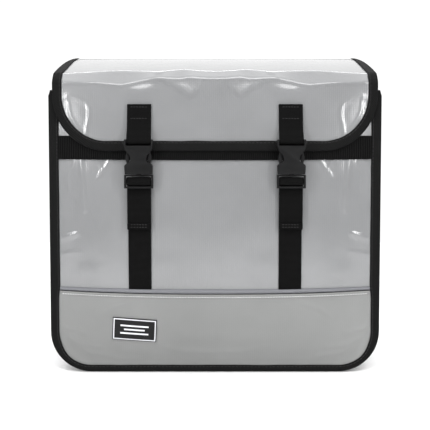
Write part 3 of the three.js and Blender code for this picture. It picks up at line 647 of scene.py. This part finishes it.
def gusset_inset(y, run, slack):
    """Inset of the side wall, which swells outwards between its seams and buckles where it is slack."""
    middle = np.maximum(0, 1 - (y / (SEAM_Y - 2 * MM)) ** 2)
    ripple = 0.5 * MM * np.sin(run * 2.1 + 1.3 * np.sin(y * 40))
    crease = 0.9 * MM * np.exp(-((y - 4 * MM * np.sin(run * 1.3)) / (5 * MM)) ** 2)
    return BINDING - 4 * MM * middle + (crease - ripple) * middle * slack


def gusset():
    y = np.linspace(-1, 1, 61) * (SEAM_Y - 0.9 * MM)
    rows = []
    path_top = 0.3
    for k, station in enumerate(edge_path(path_top)):
        side, kind, value = station
        share = (value - CORNER_R) / (path_top - CORNER_R) if kind == "side" else 0
        tops = CORNER_R + share * (rim_height(y) - CORNER_R)
        inset = gusset_inset(y, k * 0.22, smoothstep(0, 0.2, 1 - share) * smoothstep(-0.2, 0.25, share))
        heights = tops if kind == "side" else np.full(len(y), value)
        placed = [edge_point((side, kind, t), i) for t, i in zip(heights, inset)]
        rows.append([(px, py, pz) for (px, pz), py in zip(placed, y)])
    piece = shell("side_and_bottom", np.array(rows)[:, ::-1], SHEET, "tarpaulin")
    outward(piece)
    settle(piece, "bag", ["gusset"])


def back_panel():
    inset = 1.6 * MM
    angles = np.linspace(0, math.pi / 2, 22)
    corner = CORNER_R - (CORNER_R - inset) * np.cos(angles)
    z_rows = np.concatenate([corner[:-1], np.linspace(CORNER_R, BACK_TOP, 90)])
    u = np.linspace(-1, 1, 100)
    z = np.tile(z_rows[:, None], (1, len(u)))
    x = u * outline_half(z, inset)
    ripple = 0.315 * MM * np.sin(x * 31 + 2 * np.sin(z * 21)) * np.sin(z * 17 + 1)
    grid = np.stack([-x, PANEL_FACE + ripple * calm(x, z), z], axis=2)
    piece = shell("rear_panel", grid, SHEET, "tarpaulin")
    settle(piece, "bag", ["back_panel"])


def folded_rim(name, node, centre, out_of):
    """Tape folded over a free rim. centre is a line along the rim's top; out_of points sideways."""
    half, slot, drop = 1.7 * MM, 0.85 * MM, 8.5 * MM
    turn = np.linspace(0, math.pi, 7)
    cap = [(half * math.cos(a), 0.9 * MM * math.sin(a)) for a in turn]
    left_leg = [(-half, -drop), (-slot, -drop), (-slot, -0.2 * MM)]
    right_leg = [(slot, -0.2 * MM), (slot, -drop)]
    section = [(half, -drop)] + cap + left_leg + right_leg
    rings = [[c + o * a + np.array([0, 0, b]) for a, b in section] for c, o in zip(centre, out_of)]
    settle(loft(name, np.array(rings), "binding_tape", 50), "bag", [node])
    for side, word in ((1, "outside"), (-1, "inside")):
        line = centre + out_of * side * half + np.array([0, 0, -6.6 * MM])
        stitches(f"{name}_stitches_{word}", line, out_of * side, "bag")


def rims():
    x = np.linspace(-1, 1, 120) * (HALF - BINDING - 1.9 * MM)
    z = np.full_like(x, FRONT_TOP - 1.6 * MM)
    depth = front_depth(x, z) - SHEET / 2
    centre = np.stack([x, -depth, z], axis=1)
    folded_rim("front_rim_tape", "front_rim_binding", centre, facing((0, -1, 0), centre))
    y = np.linspace(-76.5, 76.5, 70) * MM
    for side, word in ((-1, "left"), (1, "right")):
        inset = gusset_inset(y, 0, 0)
        centre = np.stack([side * (HALF - inset - SHEET / 2), y, rim_height(y) + 0.4 * MM], axis=1)
        folded_rim(f"{word}_rim_tape", f"{word}_rim_binding", centre, facing((side, 0, 0), centre))


def hinge_flap():
    """The cloth that joins the lid to the back: it bends over the lid's back edge."""
    half = 168.8 * MM
    along = np.linspace(-1, 1, 90) * half
    rise = np.array([
        [82.4, 341], [82.5, 345], [82.5, 349], [82.5, 352], [82.1, 353.9], [81.0, 354.9], [79.0, 354.9],
        [76, 354.4], [72, 353.7], [68, 352.95],
    ]) * MM
    at = np.linspace(0, 9, 40)
    profile = np.stack([np.interp(at, np.arange(10), rise[:, k]) for k in range(2)], axis=1)
    grid = np.array([[(-x, y, z) for x in along] for y, z in profile])
    piece = shell("hinge_flap", grid, 0.6 * MM, "tarpaulin")
    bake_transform(piece)
    line = np.array([(x, 82.5 * MM, 342.6 * MM) for x in along])
    stitches("hinge_flap_stitches", line, facing((0, 1, 0), line), "bag")


# ---- Webbing on the front ----

def webbing_band():
    low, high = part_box("webbing_band")
    band_half = HALF - BINDING - 0.4 * MM
    columns = np.linspace(-band_half, band_half, 140)
    x, z = np.meshgrid(columns, np.linspace(low.z, high.z, 9))
    z = z - 0.9 * MM * (1 - (x / band_half) ** 2)
    grid = np.stack([x, -(PANEL_FACE + swell(x, z) + 1.9 * MM), z], axis=2)
    piece = shell("front_band", grid, STRAP, "webbing")
    settle(piece, "bag", ["webbing_band"])


def lower_strap(word):
    """The anchored strap: it lies on the front, then rises to the male half that holds it."""
    low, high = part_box(f"lower_strap_{word}")
    columns = np.linspace(low.x + 0.5 * MM, high.x - 0.5 * MM, 13)
    rows = np.linspace(low.z - 1.2 * MM, high.z + 0.4 * MM, 60)
    x, z = np.meshgrid(columns, rows)
    lying = front_depth(x, z) + 0.3 * MM
    held = 101.5 * MM
    depth = lying + (held - lying) * smoothstep(140 * MM, high.z, z)
    grid = np.stack([x, -(depth + STRAP), z], axis=2)
    piece = shell(f"lower_webbing_{word}", grid, STRAP, "strap_webbing")
    settle(piece, "bag", [f"lower_strap_{word}"])
    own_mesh(piece)


# ---- Lid ----

BAND_DEPTH = 9.5 * MM
TOP_DEPTH = 170 * MM
TOP_SLOPE = 0.1435
TOP_CURVE = 0.574
DEPTH_SHARE = 0.972
# The lid's two cross creases: distance from the middle and height, in millimetres.
LOW_CREASE = [
    (0, 314.8), (14, 315.2), (26, 316.4), (36, 314.4), (60, 315.8), (79, 312.0), (99, 307.2), (112, 308.6),
    (127, 310.2), (162, 311.4), (176, 311.4),
]
HIGH_CREASE = [
    (0, 322.4), (18, 323.2), (31, 324.6), (46, 323.4), (60, 322.2), (85, 322.8), (111, 323.0), (140, 321.4),
    (176, 320.2),
]
LID_CREASES = [
    ([(-x, z) for x, z in reversed(LOW_CREASE)], 0.55, 1.3, 2.2),
    ([(-163, 293), (-159.6, 295.1), (-153.4, 296.9), (-143.3, 293.2), (-135.3, 289), (-132.1, 282.8),
      (-132.1, 274.1), (-134, 266.7), (-136.4, 253)], 0.5, 1.6, 1.8),
    ([(-156, 297), (-155.8, 293.9), (-154, 285.2), (-153.3, 279), (-151.4, 274.1), (-147.1, 266.7),
      (-139, 256)], 0.28, 1.6, 1.6),
    ([(-64.7, 315), (-47.2, 309.9), (-25.9, 295.8), (-17.2, 302.5), (-12.3, 312)], 1.0, 8.0, 2.4),
    ([(-98, 304), (-88, 301), (-80, 300.5), (-72, 301), (-62, 304)], 1.25, 7.0, 6.5),
]
LID_HUMPS = [
    (-145, 276, 13, 18, 12, 0.3), (-110, 282, 22, 14, 0, 0.6), (-30, 268, 30, 16, 0, 0.7),
    (-60, 252, 22, 8, 0, -0.4),
]


def crease(table, x):
    """The height of one of the lid's two cross creases."""
    return np.interp(np.abs(x), table[:, 0], table[:, 1])


def smooth_table(points):
    """A crease's points, filled in and rounded off."""
    table = np.array(points) * MM
    x = np.linspace(0, table[-1, 0], 240)
    y = np.interp(x, table[:, 0], table[:, 1])
    weights = np.hanning(23)
    padded = np.concatenate([y[11:0:-1], y, np.full(11, y[-1])])
    return np.stack([x, np.convolve(padded, weights / weights.sum(), "valid")], axis=1)


CREASE_LOW = smooth_table(LOW_CREASE)
CREASE_HIGH = smooth_table(HIGH_CREASE)


def lid_drop(x, z):
    """The lid's front face below its lower crease: distance out from the middle."""
    side = smoothstep(LID_BINDING - 3 * MM, LID_BINDING + 3 * MM, LID_HALF_FRONT - np.abs(x))
    edge = side * smoothstep(LID_BOTTOM + 8 * MM, LID_BOTTOM + 20 * MM, z)
    crumple = mirrored_humps(x, z, LID_HUMPS) + mirrored_creases(x, z, LID_CREASES)
    return LID_PLANE + swell(x, z) + crumple * edge


def top_height(back):
    """The lid's height at a distance in front of the hinge."""
    return HINGE_Z - TOP_SLOPE * back - TOP_CURVE * back * back


def lid_raw(x, s):
    """The lid's sharp-creased mid surface: s is the way up from the lower crease, minus below it.

    On the sloping top, each metre of cloth covers DEPTH_SHARE metres of depth.
    """
    low, high = crease(CREASE_LOW, x), crease(CREASE_HIGH, x)
    knee = lid_drop(x, low)
    front_y = -lid_drop(x, low + np.minimum(s, 0))
    front_z = low + np.minimum(s, 0)
    band_length = np.hypot(BAND_DEPTH, high - low)
    t = np.clip(s / band_length, 0, 1)
    band_y = -knee + BAND_DEPTH * t
    band_z = low + (high - low) * t
    reach = HINGE_Y + knee - BAND_DEPTH
    d = np.clip((s - band_length) * DEPTH_SHARE, 0, reach)
    back = reach - d
    top_z = top_height(back) + (high - top_height(reach)) * (back / reach) ** 1.3
    top_y = -knee + BAND_DEPTH + d
    y = np.where(s < 0, front_y, np.where(s < band_length, band_y, top_y))
    z = np.where(s < 0, front_z, np.where(s < band_length, band_z, top_z))
    return np.stack([np.broadcast_to(x, y.shape), y, z], axis=-1)


def lid_length(x):
    """The lid's length at x, from its lower crease up and back to the hinge."""
    low, high = crease(CREASE_LOW, x), crease(CREASE_HIGH, x)
    reach = HINGE_Y + lid_drop(x, low) - BAND_DEPTH
    return np.hypot(BAND_DEPTH, high - low) + reach / DEPTH_SHARE


def lid_surface(x, s):
    """The lid's mid surface with its creases softened."""
    offsets = np.array([-2.0, -1.0, 0, 1.0, 2.0]) * MM
    weights = np.array([0.12, 0.24, 0.28, 0.24, 0.12])
    room = np.clip(lid_length(x) - s, 0, None)
    reach = np.minimum(1, room / (2.0 * MM))
    return sum(w * lid_raw(x, s + o * reach) for w, o in zip(weights, offsets))


def lid_frame(x, s):
    """The lid's mid surface and its outward normal."""
    step = 0.6 * MM
    point = lid_surface(x, s)
    across = lid_surface(x + step, s) - lid_surface(x - step, s)
    up = lid_surface(x, s + step) - lid_surface(x, s - step)
    normal = np.cross(across, up)
    return point, normal / np.maximum(np.linalg.norm(normal, axis=-1, keepdims=True), 1e-12)


def lid_half(s):
    """Half the lid's width at s, from its narrower front to its wider back."""
    share = np.clip(s / TOP_DEPTH, 0, 1)
    return LID_HALF_FRONT + (LID_HALF_BACK - LID_HALF_FRONT) * share


def lid_sheet():
    inset = 1.6 * MM
    angles = np.linspace(0, math.pi / 2, 56)
    centre_z = LID_BOTTOM + LID_CORNER_R
    corner = centre_z - (LID_CORNER_R - inset) * np.cos(angles)
    widths = LID_HALF_FRONT - LID_CORNER_R + (LID_CORNER_R - inset) * np.sin(angles)
    u = np.linspace(-1, 1, 280)
    rows = []
    for z, w in zip(corner, widths):
        x = u * w
        rows.append((x, z - crease(CREASE_LOW, x)))
    knee = corner[-1]
    for t in np.linspace(0, 1, 18)[1:]:
        x = u * (LID_HALF_FRONT - inset)
        rows.append((x, (knee - crease(CREASE_LOW, x)) * (1 - t)))
    for t in np.linspace(0, 1, 100)[1:]:
        x = u * (lid_half(t * TOP_DEPTH) - inset)
        rows.append((x, t ** 1.25 * lid_length(x)))
    x = np.array([r[0] for r in rows])
    s = np.array([r[1] for r in rows])
    point, normal = lid_frame(x, s)
    piece = shell("lid_cover", point + normal * SHEET / 2, SHEET, "tarpaulin")
    settle(piece, "lid", ["lid"])


def lid_edge():
    """Stations round the lid's free edge: x, s, and the direction inwards in the same terms."""
    stations = []
    back = lid_length(np.array([LID_HALF_BACK]))[0]
    crease_low = crease(CREASE_LOW, LID_HALF_FRONT)
    corner_s = LID_BOTTOM + LID_CORNER_R - crease_low
    for s in np.linspace(back - 0.3 * MM, 0, 66):
        stations.append((-lid_half(s), s, 1.0, 0.0))
    for s in np.linspace(0, corner_s, 8)[1:]:
        stations.append((-LID_HALF_FRONT, s, 1.0, 0.0))
    for a in np.linspace(0, math.pi / 2, 34)[1:]:
        x = -(LID_HALF_FRONT - LID_CORNER_R + LID_CORNER_R * math.cos(a))
        z = LID_BOTTOM + LID_CORNER_R * (1 - math.sin(a))
        stations.append((x, z - crease(CREASE_LOW, x), math.cos(a), math.sin(a)))
    for share in np.linspace(1, 0, 34)[1:]:
        x = -(LID_HALF_FRONT - LID_CORNER_R) * share
        stations.append((x, LID_BOTTOM - crease(CREASE_LOW, x), 0.0, 1.0))
    left = np.array(stations)
    right = left[:-1][::-1] * (-1, 1, -1, 1)
    return np.concatenate([left, right])


def lid_binding_width(s):
    return LID_BINDING - 5.0 * MM * smoothstep(40 * MM, 165 * MM, s)


def lid_binding():
    path = lid_edge()
    wave = unevenness(11, len(path))
    half, slot = 1.65 * MM, 0.9 * MM
    rings = []
    for (x, s, in_x, in_s), w in zip(path, wave):
        width = lid_binding_width(s) + 0.25 * MM * w
        outer, legs = tape_section(width, half, slot)
        section = np.array(outer + [(share * width, o) for share, o in legs])
        px = x + in_x * section[:, 0]
        base = crease(CREASE_LOW, x) - crease(CREASE_LOW, px)
        ps = s + in_s * section[:, 0] + (base if s < 0 else 0)
        point, normal = lid_frame(px, ps)
        rings.append(point + normal * section[:, 1:2])
    settle(loft("lid_edge_tape", np.array(rings), "binding_tape", 50), "lid", ["lid_binding"])
    inset = lid_binding_width(path[:, 1]) - 2.0 * MM
    px = path[:, 0] + path[:, 2] * inset
    shift = crease(CREASE_LOW, path[:, 0]) - crease(CREASE_LOW, px)
    ps = path[:, 1] + path[:, 3] * inset + np.where(path[:, 1] < 0, shift, 0)
    point, normal = lid_frame(px, ps)
    stitches("lid_stitches_outside", point + normal * half * 1.02, normal, "lid")
    stitches("lid_stitches_inside", point - normal * half * 1.02, -normal, "lid")


# ---- Straps through the buckles ----

def ribbon(name, points, x):
    """A strap seen from its edge as (y, z) points, smoothed, and given a width in x."""
    path = np.array(points, float)
    for _ in range(3):
        cut_a = path[:-1] * 0.75 + path[1:] * 0.25
        cut_b = path[:-1] * 0.25 + path[1:] * 0.75
        inner = np.stack([cut_a, cut_b], axis=1).reshape(-1, 2)
        path = np.concatenate([path[:1], inner, path[-1:]])
    step = np.gradient(path, axis=0)
    step /= np.linalg.norm(step, axis=1, keepdims=True)
    side = np.stack([-step[:, 1], step[:, 0]], axis=1)
    half, w, r = STRAP / 2, WEBBING / 2, 0.45 * MM
    section = [
        (-w, -half + r), (-w + r, -half), (w - r, -half), (w, -half + r),
        (w, half - r), (w - r, half), (-w + r, half), (-w, half - r),
    ]
    rings = [[(x + a, p[0] + n[0] * b, p[1] + n[1] * b) for a, b in section] for p, n in zip(path, side)]
    return loft(name, np.array(rings), "strap_webbing", 35)


def stitch_row(name, x, y, z, body, length):
    """A row of stitches straight across a strap."""
    line = np.array([(x + a * MM, y, z) for a in np.linspace(-10.5, 10.5, 12)])
    stitches(name, line, facing((0, -1, 0), line), body, pitch=3.0, length=length)


def upper_strap(word, side):
    """The lid's strap: down the lid, round the female half's bar and back up, stitched through."""
    x = side * BUCKLE_X
    top = UPPER_STRAP_TOP
    bar_y, bar_z = BUCKLE_Y, BUCKLE_TOP

    def face(z):
        return -(LID_PLANE + 1.4 * MM + float(swell(BUCKLE_X - WEBBING / 2, z)))

    def front_y(z, lift):
        return face(z) - 1.6 * MM - lift

    back = [
        (face(top), top),
        (face(top - 14 * MM) - 0.3 * MM, top - 14 * MM),
        (face(top - 24 * MM) - 1.6 * MM, top - 26 * MM),
        (bar_y + 2.9 * MM, bar_z + 2 * MM),
        (bar_y + 2.9 * MM, bar_z - 3.0 * MM),
    ]
    front = [
        (bar_y, bar_z - 5.4 * MM),
        (bar_y - 2.9 * MM, bar_z - 3.2 * MM),
        (bar_y - 2.9 * MM, bar_z + 1.5 * MM),
        (front_y(top - 26 * MM, 1.6 * MM), top - 27 * MM),
        (front_y(top - 14 * MM, 0.3 * MM), top - 15 * MM),
        (front_y(top, 0), top - 0.3 * MM),
    ]
    piece = ribbon(f"lid_webbing_{word}", back + front, x)
    settle(piece, "lid", [f"upper_strap_{word}"])
    rows = [(top - 3 * MM, 0), (top - 15 * MM, 0.3 * MM)]
    for row, (z, lift) in enumerate(rows):
        stitch_row(f"lid_webbing_{word}_stitches_{row + 1}", x, front_y(z, lift) - 0.75 * MM, z, "lid", 2.3)


def hem_stitches(word, side):
    """Two rows of stitches through the turned-up end of the tail."""
    y = BUCKLE_Y + 1.6 * MM
    for row, height in enumerate((2.1, 4.7)):
        name = f"tail_{word}_stitches_{row + 1}"
        stitch_row(name, side * BUCKLE_X, y, TAIL_END + height * MM, f"male_{word}", 2.2)


def tail(word, side):
    """The lower strap's free end: up behind the male half, over its bar and down in front."""
    x = side * BUCKLE_X
    end = TAIL_END - BUCKLE_TOP
    points = [
        (5.2, -50.6), (5.2, -45.8), (3.4, -40.6), (0, -39.2), (-2.6, -40.4), (-2.7, -45.4), (-1.4, -47.0),
        (2.2, -47.1), (3.6, -48.7), (3.5, -52), (3.3, -60), (3.5, -75), (3.9, end / MM + 5.5),
    ]
    path = [(BUCKLE_Y + a * MM, BUCKLE_TOP + b * MM) for a, b in points]
    hem_points = [(3.9, 0.4), (3.1, 0), (2.3, 0.5), (2.3, 6)]
    hem = [(BUCKLE_Y + a * MM, TAIL_END + b * MM) for a, b in hem_points]
    piece = ribbon(f"webbing_tail_{word}", path + hem, x)
    settle(piece, f"male_{word}", [f"strap_tail_{word}"])
    hem_stitches(word, side)


# ---- Hard pieces: the CAD shape with its edges rounded ----

EDGE_RADIUS = {
    "screw": 0.2, "rivet": 0.2, "latch_pin": 0.2, "lower_rail": 0.4, "board": 0.4, "buckle": 0.45,
    "hook": 0.5, "lower_slider": 0.5,
}


def rounded(node, radius):
    """The CAD node's own mesh with its edges rounded by a radius in millimetres."""
    mesh = bpy.data.objects[node].data.copy()
    made = add_object(f"{node}_moulding", mesh)
    mesh.materials.clear()
    mesh.materials.append(MATERIALS[SLOT_OF[node]])
    weld = made.modifiers.new("weld", "WELD")
    weld.merge_threshold = 0.00002
    flat = made.modifiers.new("flat", "DECIMATE")
    flat.decimate_type = "DISSOLVE"
    flat.angle_limit = math.radians(2)
    bevel = made.modifiers.new("bevel", "BEVEL")
    bevel.width = radius * MM
    bevel.segments = 2
    bevel.limit_method = "ANGLE"
    bevel.angle_limit = math.radians(35)
    graph = bpy.context.evaluated_depsgraph_get()
    final = bpy.data.meshes.new_from_object(made.evaluated_get(graph))
    made.modifiers.clear()
    made.data = final
    final.polygons.foreach_set("use_smooth", [True] * len(final.polygons))
    sharpen(made, 32)
    settle(made, BODY_OF[node], [node])


def hard_pieces():
    """A node takes the radius of the first word in the table that its name holds."""
    for node in sorted(BODY_OF):
        radius = next((r for word, r in EDGE_RADIUS.items() if word in node), None)
        if radius is not None:
            rounded(node, radius)


# ---- Label, handle ----

def label():
    low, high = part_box("label_patch")
    width, height, tilt = 47 * MM, 24.6 * MM, math.radians(-3.4)
    centre_x, centre_z = (low.x + high.x) / 2, (low.z + high.z) / 2

    def placed(a, b, lift):
        x = centre_x + a * math.cos(tilt) - b * math.sin(tilt)
        z = centre_z + a * math.sin(tilt) + b * math.cos(tilt)
        return np.stack([x, -(front_depth(x, z) + lift), z], axis=2)

    def patch(name, w, h, lift, thick, material):
        a, b = np.meshgrid(np.linspace(-w / 2, w / 2, 20), np.linspace(-h / 2, h / 2, 10))
        return shell(name, placed(a, b, (lift + thick) * MM), thick * MM, material)

    base = patch("label_plate", width, height, 0.3, 1.0, "label_rubber")
    settle(base, "bag", ["label_patch"])
    border = patch("label_border", width - 1.6 * MM, height - 1.6 * MM, 1.3, 0.35, "label_print")
    settle(border, "bag")
    field = patch("label_field", width - 4 * MM, height - 4 * MM, 1.65, 0.4, "label_rubber")
    settle(field, "bag")
    for k, (w, shift) in enumerate(((30, 4.2), (22, 0.0), (30, -4.2))):
        a, b = np.meshgrid(np.linspace(-w / 2, w / 2, 16) * MM, (np.linspace(-0.8, 0.8, 3) + shift) * MM)
        bar = shell(f"label_bar_{k + 1}", placed(a, b, 2.4 * MM), 0.5 * MM, "label_print")
        settle(bar, "bag")


def carry_handle():
    low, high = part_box("carry_handle")
    thick = 1.8 * MM
    x = high.x * np.linspace(-1, 1, 90)
    arch = np.maximum(0, 1 - (x / (40 * MM)) ** 2)
    y = PANEL_FACE + 0.4 * MM + (high.y - PANEL_FACE - 2.2 * MM) * arch + thick
    z = np.linspace(low.z, high.z, 9)
    across, up = np.meshgrid(-x, z)
    grid = np.stack([across, np.tile(y, (len(z), 1)), up], axis=2)
    piece = shell("grab_handle", grid, thick, "webbing")
    settle(piece, "bag", ["carry_handle"])
    for word in ("left", "right"):
        rounded(f"handle_tab_{word}", 0.4)


# ---- Stage, lights and camera ----

FLOOR_RADIUS = 1.25
ROOM_FRONT, ROOM_BACK = 0.27, 1.05
BACKDROP = 1.1
CAMERA_HEIGHT = 0.2359
CAMERA_DISTANCE = 0.85
CAMERA_TILT = 3.2
SOFT_BOXES = [
    ("box_left", (-1.15, -1.45, 0.75), 0.14, 0.8, 11),
    ("box_right", (1.15, -1.45, 0.75), 0.14, 0.8, 11),
    ("box_front", (0, -1.45, 1.7), 1.5, 0.9, 30),
    ("box_back", (0, 1.0, 1.75), 1.6, 0.3, 11),
    ("box_above", (0, -0.15, 1.95), 2.6, 1.5, 20),
]


def area_light(name, place, target, size_x, size_y, power):
    data = bpy.data.lights.new(name, "AREA")
    data.shape = "RECTANGLE"
    data.size, data.size_y = size_x, size_y
    data.energy = power
    light = add_object(name, data)
    light.location = place
    light.rotation_euler = (Vector(target) - Vector(place)).to_track_quat("-Z", "Y").to_euler()


def stage():
    """A pale round floor."""
    turn = np.linspace(0, 2 * math.pi, 96, endpoint=False)
    rim = np.stack([np.cos(turn), np.sin(turn), np.zeros_like(turn)], axis=1) * FLOOR_RADIUS
    paint = Paint("floor", 0.9, specular=0.1)
    paint.colour(paint.noise(2, 1), (0.3, (0.96, 0.96, 0.96)), (0.7, (0.98, 0.98, 0.98)))
    MATERIALS["floor"] = paint.material
    floor = make_object("floor", rim - (0, 0, 0.0005), [list(range(len(rim)))], "floor", smooth=False)


def lighting():
    """A pale room, brighter behind the bag than in front, seen as white by the camera, and soft boxes."""
    world = bpy.data.worlds.new("studio")
    bpy.context.scene.world = world
    world.use_nodes = True
    tree = world.node_tree
    room = tree.nodes["Background"]
    where = tree.nodes.new("ShaderNodeTexCoord")
    parts = tree.nodes.new("ShaderNodeSeparateXYZ")
    fade = tree.nodes.new("ShaderNodeMapRange")
    fade.interpolation_type = "SMOOTHSTEP"
    ends = {"From Min": -0.4, "From Max": 0.75, "To Min": ROOM_FRONT, "To Max": ROOM_BACK}
    for socket, value in ends.items():
        fade.inputs[socket].default_value = value
    seen = tree.nodes.new("ShaderNodeBackground")
    seen.inputs["Strength"].default_value = BACKDROP
    path = tree.nodes.new("ShaderNodeLightPath")
    choice = tree.nodes.new("ShaderNodeMixShader")
    link = tree.links.new
    link(where.outputs["Generated"], parts.inputs["Vector"])
    link(parts.outputs["Y"], fade.inputs["Value"])
    link(fade.outputs["Result"], room.inputs["Strength"])
    link(path.outputs["Is Camera Ray"], choice.inputs["Fac"])
    link(room.outputs["Background"], choice.inputs[1])
    link(seen.outputs["Background"], choice.inputs[2])
    link(choice.outputs["Shader"], tree.nodes["World Output"].inputs["Surface"])
    room.inputs["Color"].default_value = (1, 1, 1, 1)
    seen.inputs["Color"].default_value = (1, 1, 1, 1)
    for name, place, size_x, size_y, power in SOFT_BOXES:
        area_light(name, place, (0, 0, 0.2), size_x, size_y, power)
    bpy.context.scene.view_settings.view_transform = "Standard"


def camera():
    data = bpy.data.cameras.new("camera")
    data.lens = 66.5
    data.sensor_width = 36
    data.shift_y = -0.04
    eye = add_object("camera", data)
    eye.location = (0, -(SEAM_Y + CAMERA_DISTANCE), CAMERA_HEIGHT)
    eye.rotation_euler = (math.radians(90 - CAMERA_TILT), 0, 0)
    bpy.context.scene.camera = eye


camera()
lighting()
stage()
upper_panel()
lower_panel()
seam_piping()
edge_binding("front_edge_tape", "front_binding", -SEAM_Y, FRONT_TOP, front_binding_width)
edge_binding("back_edge_tape", "back_binding", SEAM_Y, BACK_TOP, lambda z: BACK_BINDING)
gusset()
back_panel()
rims()
hinge_flap()
webbing_band()
lid_sheet()
lid_binding()
for word, side in (("left", -1), ("right", 1)):
    lower_strap(word)
    upper_strap(word, side)
    tail(word, side)
label()
carry_handle()
hard_pieces()
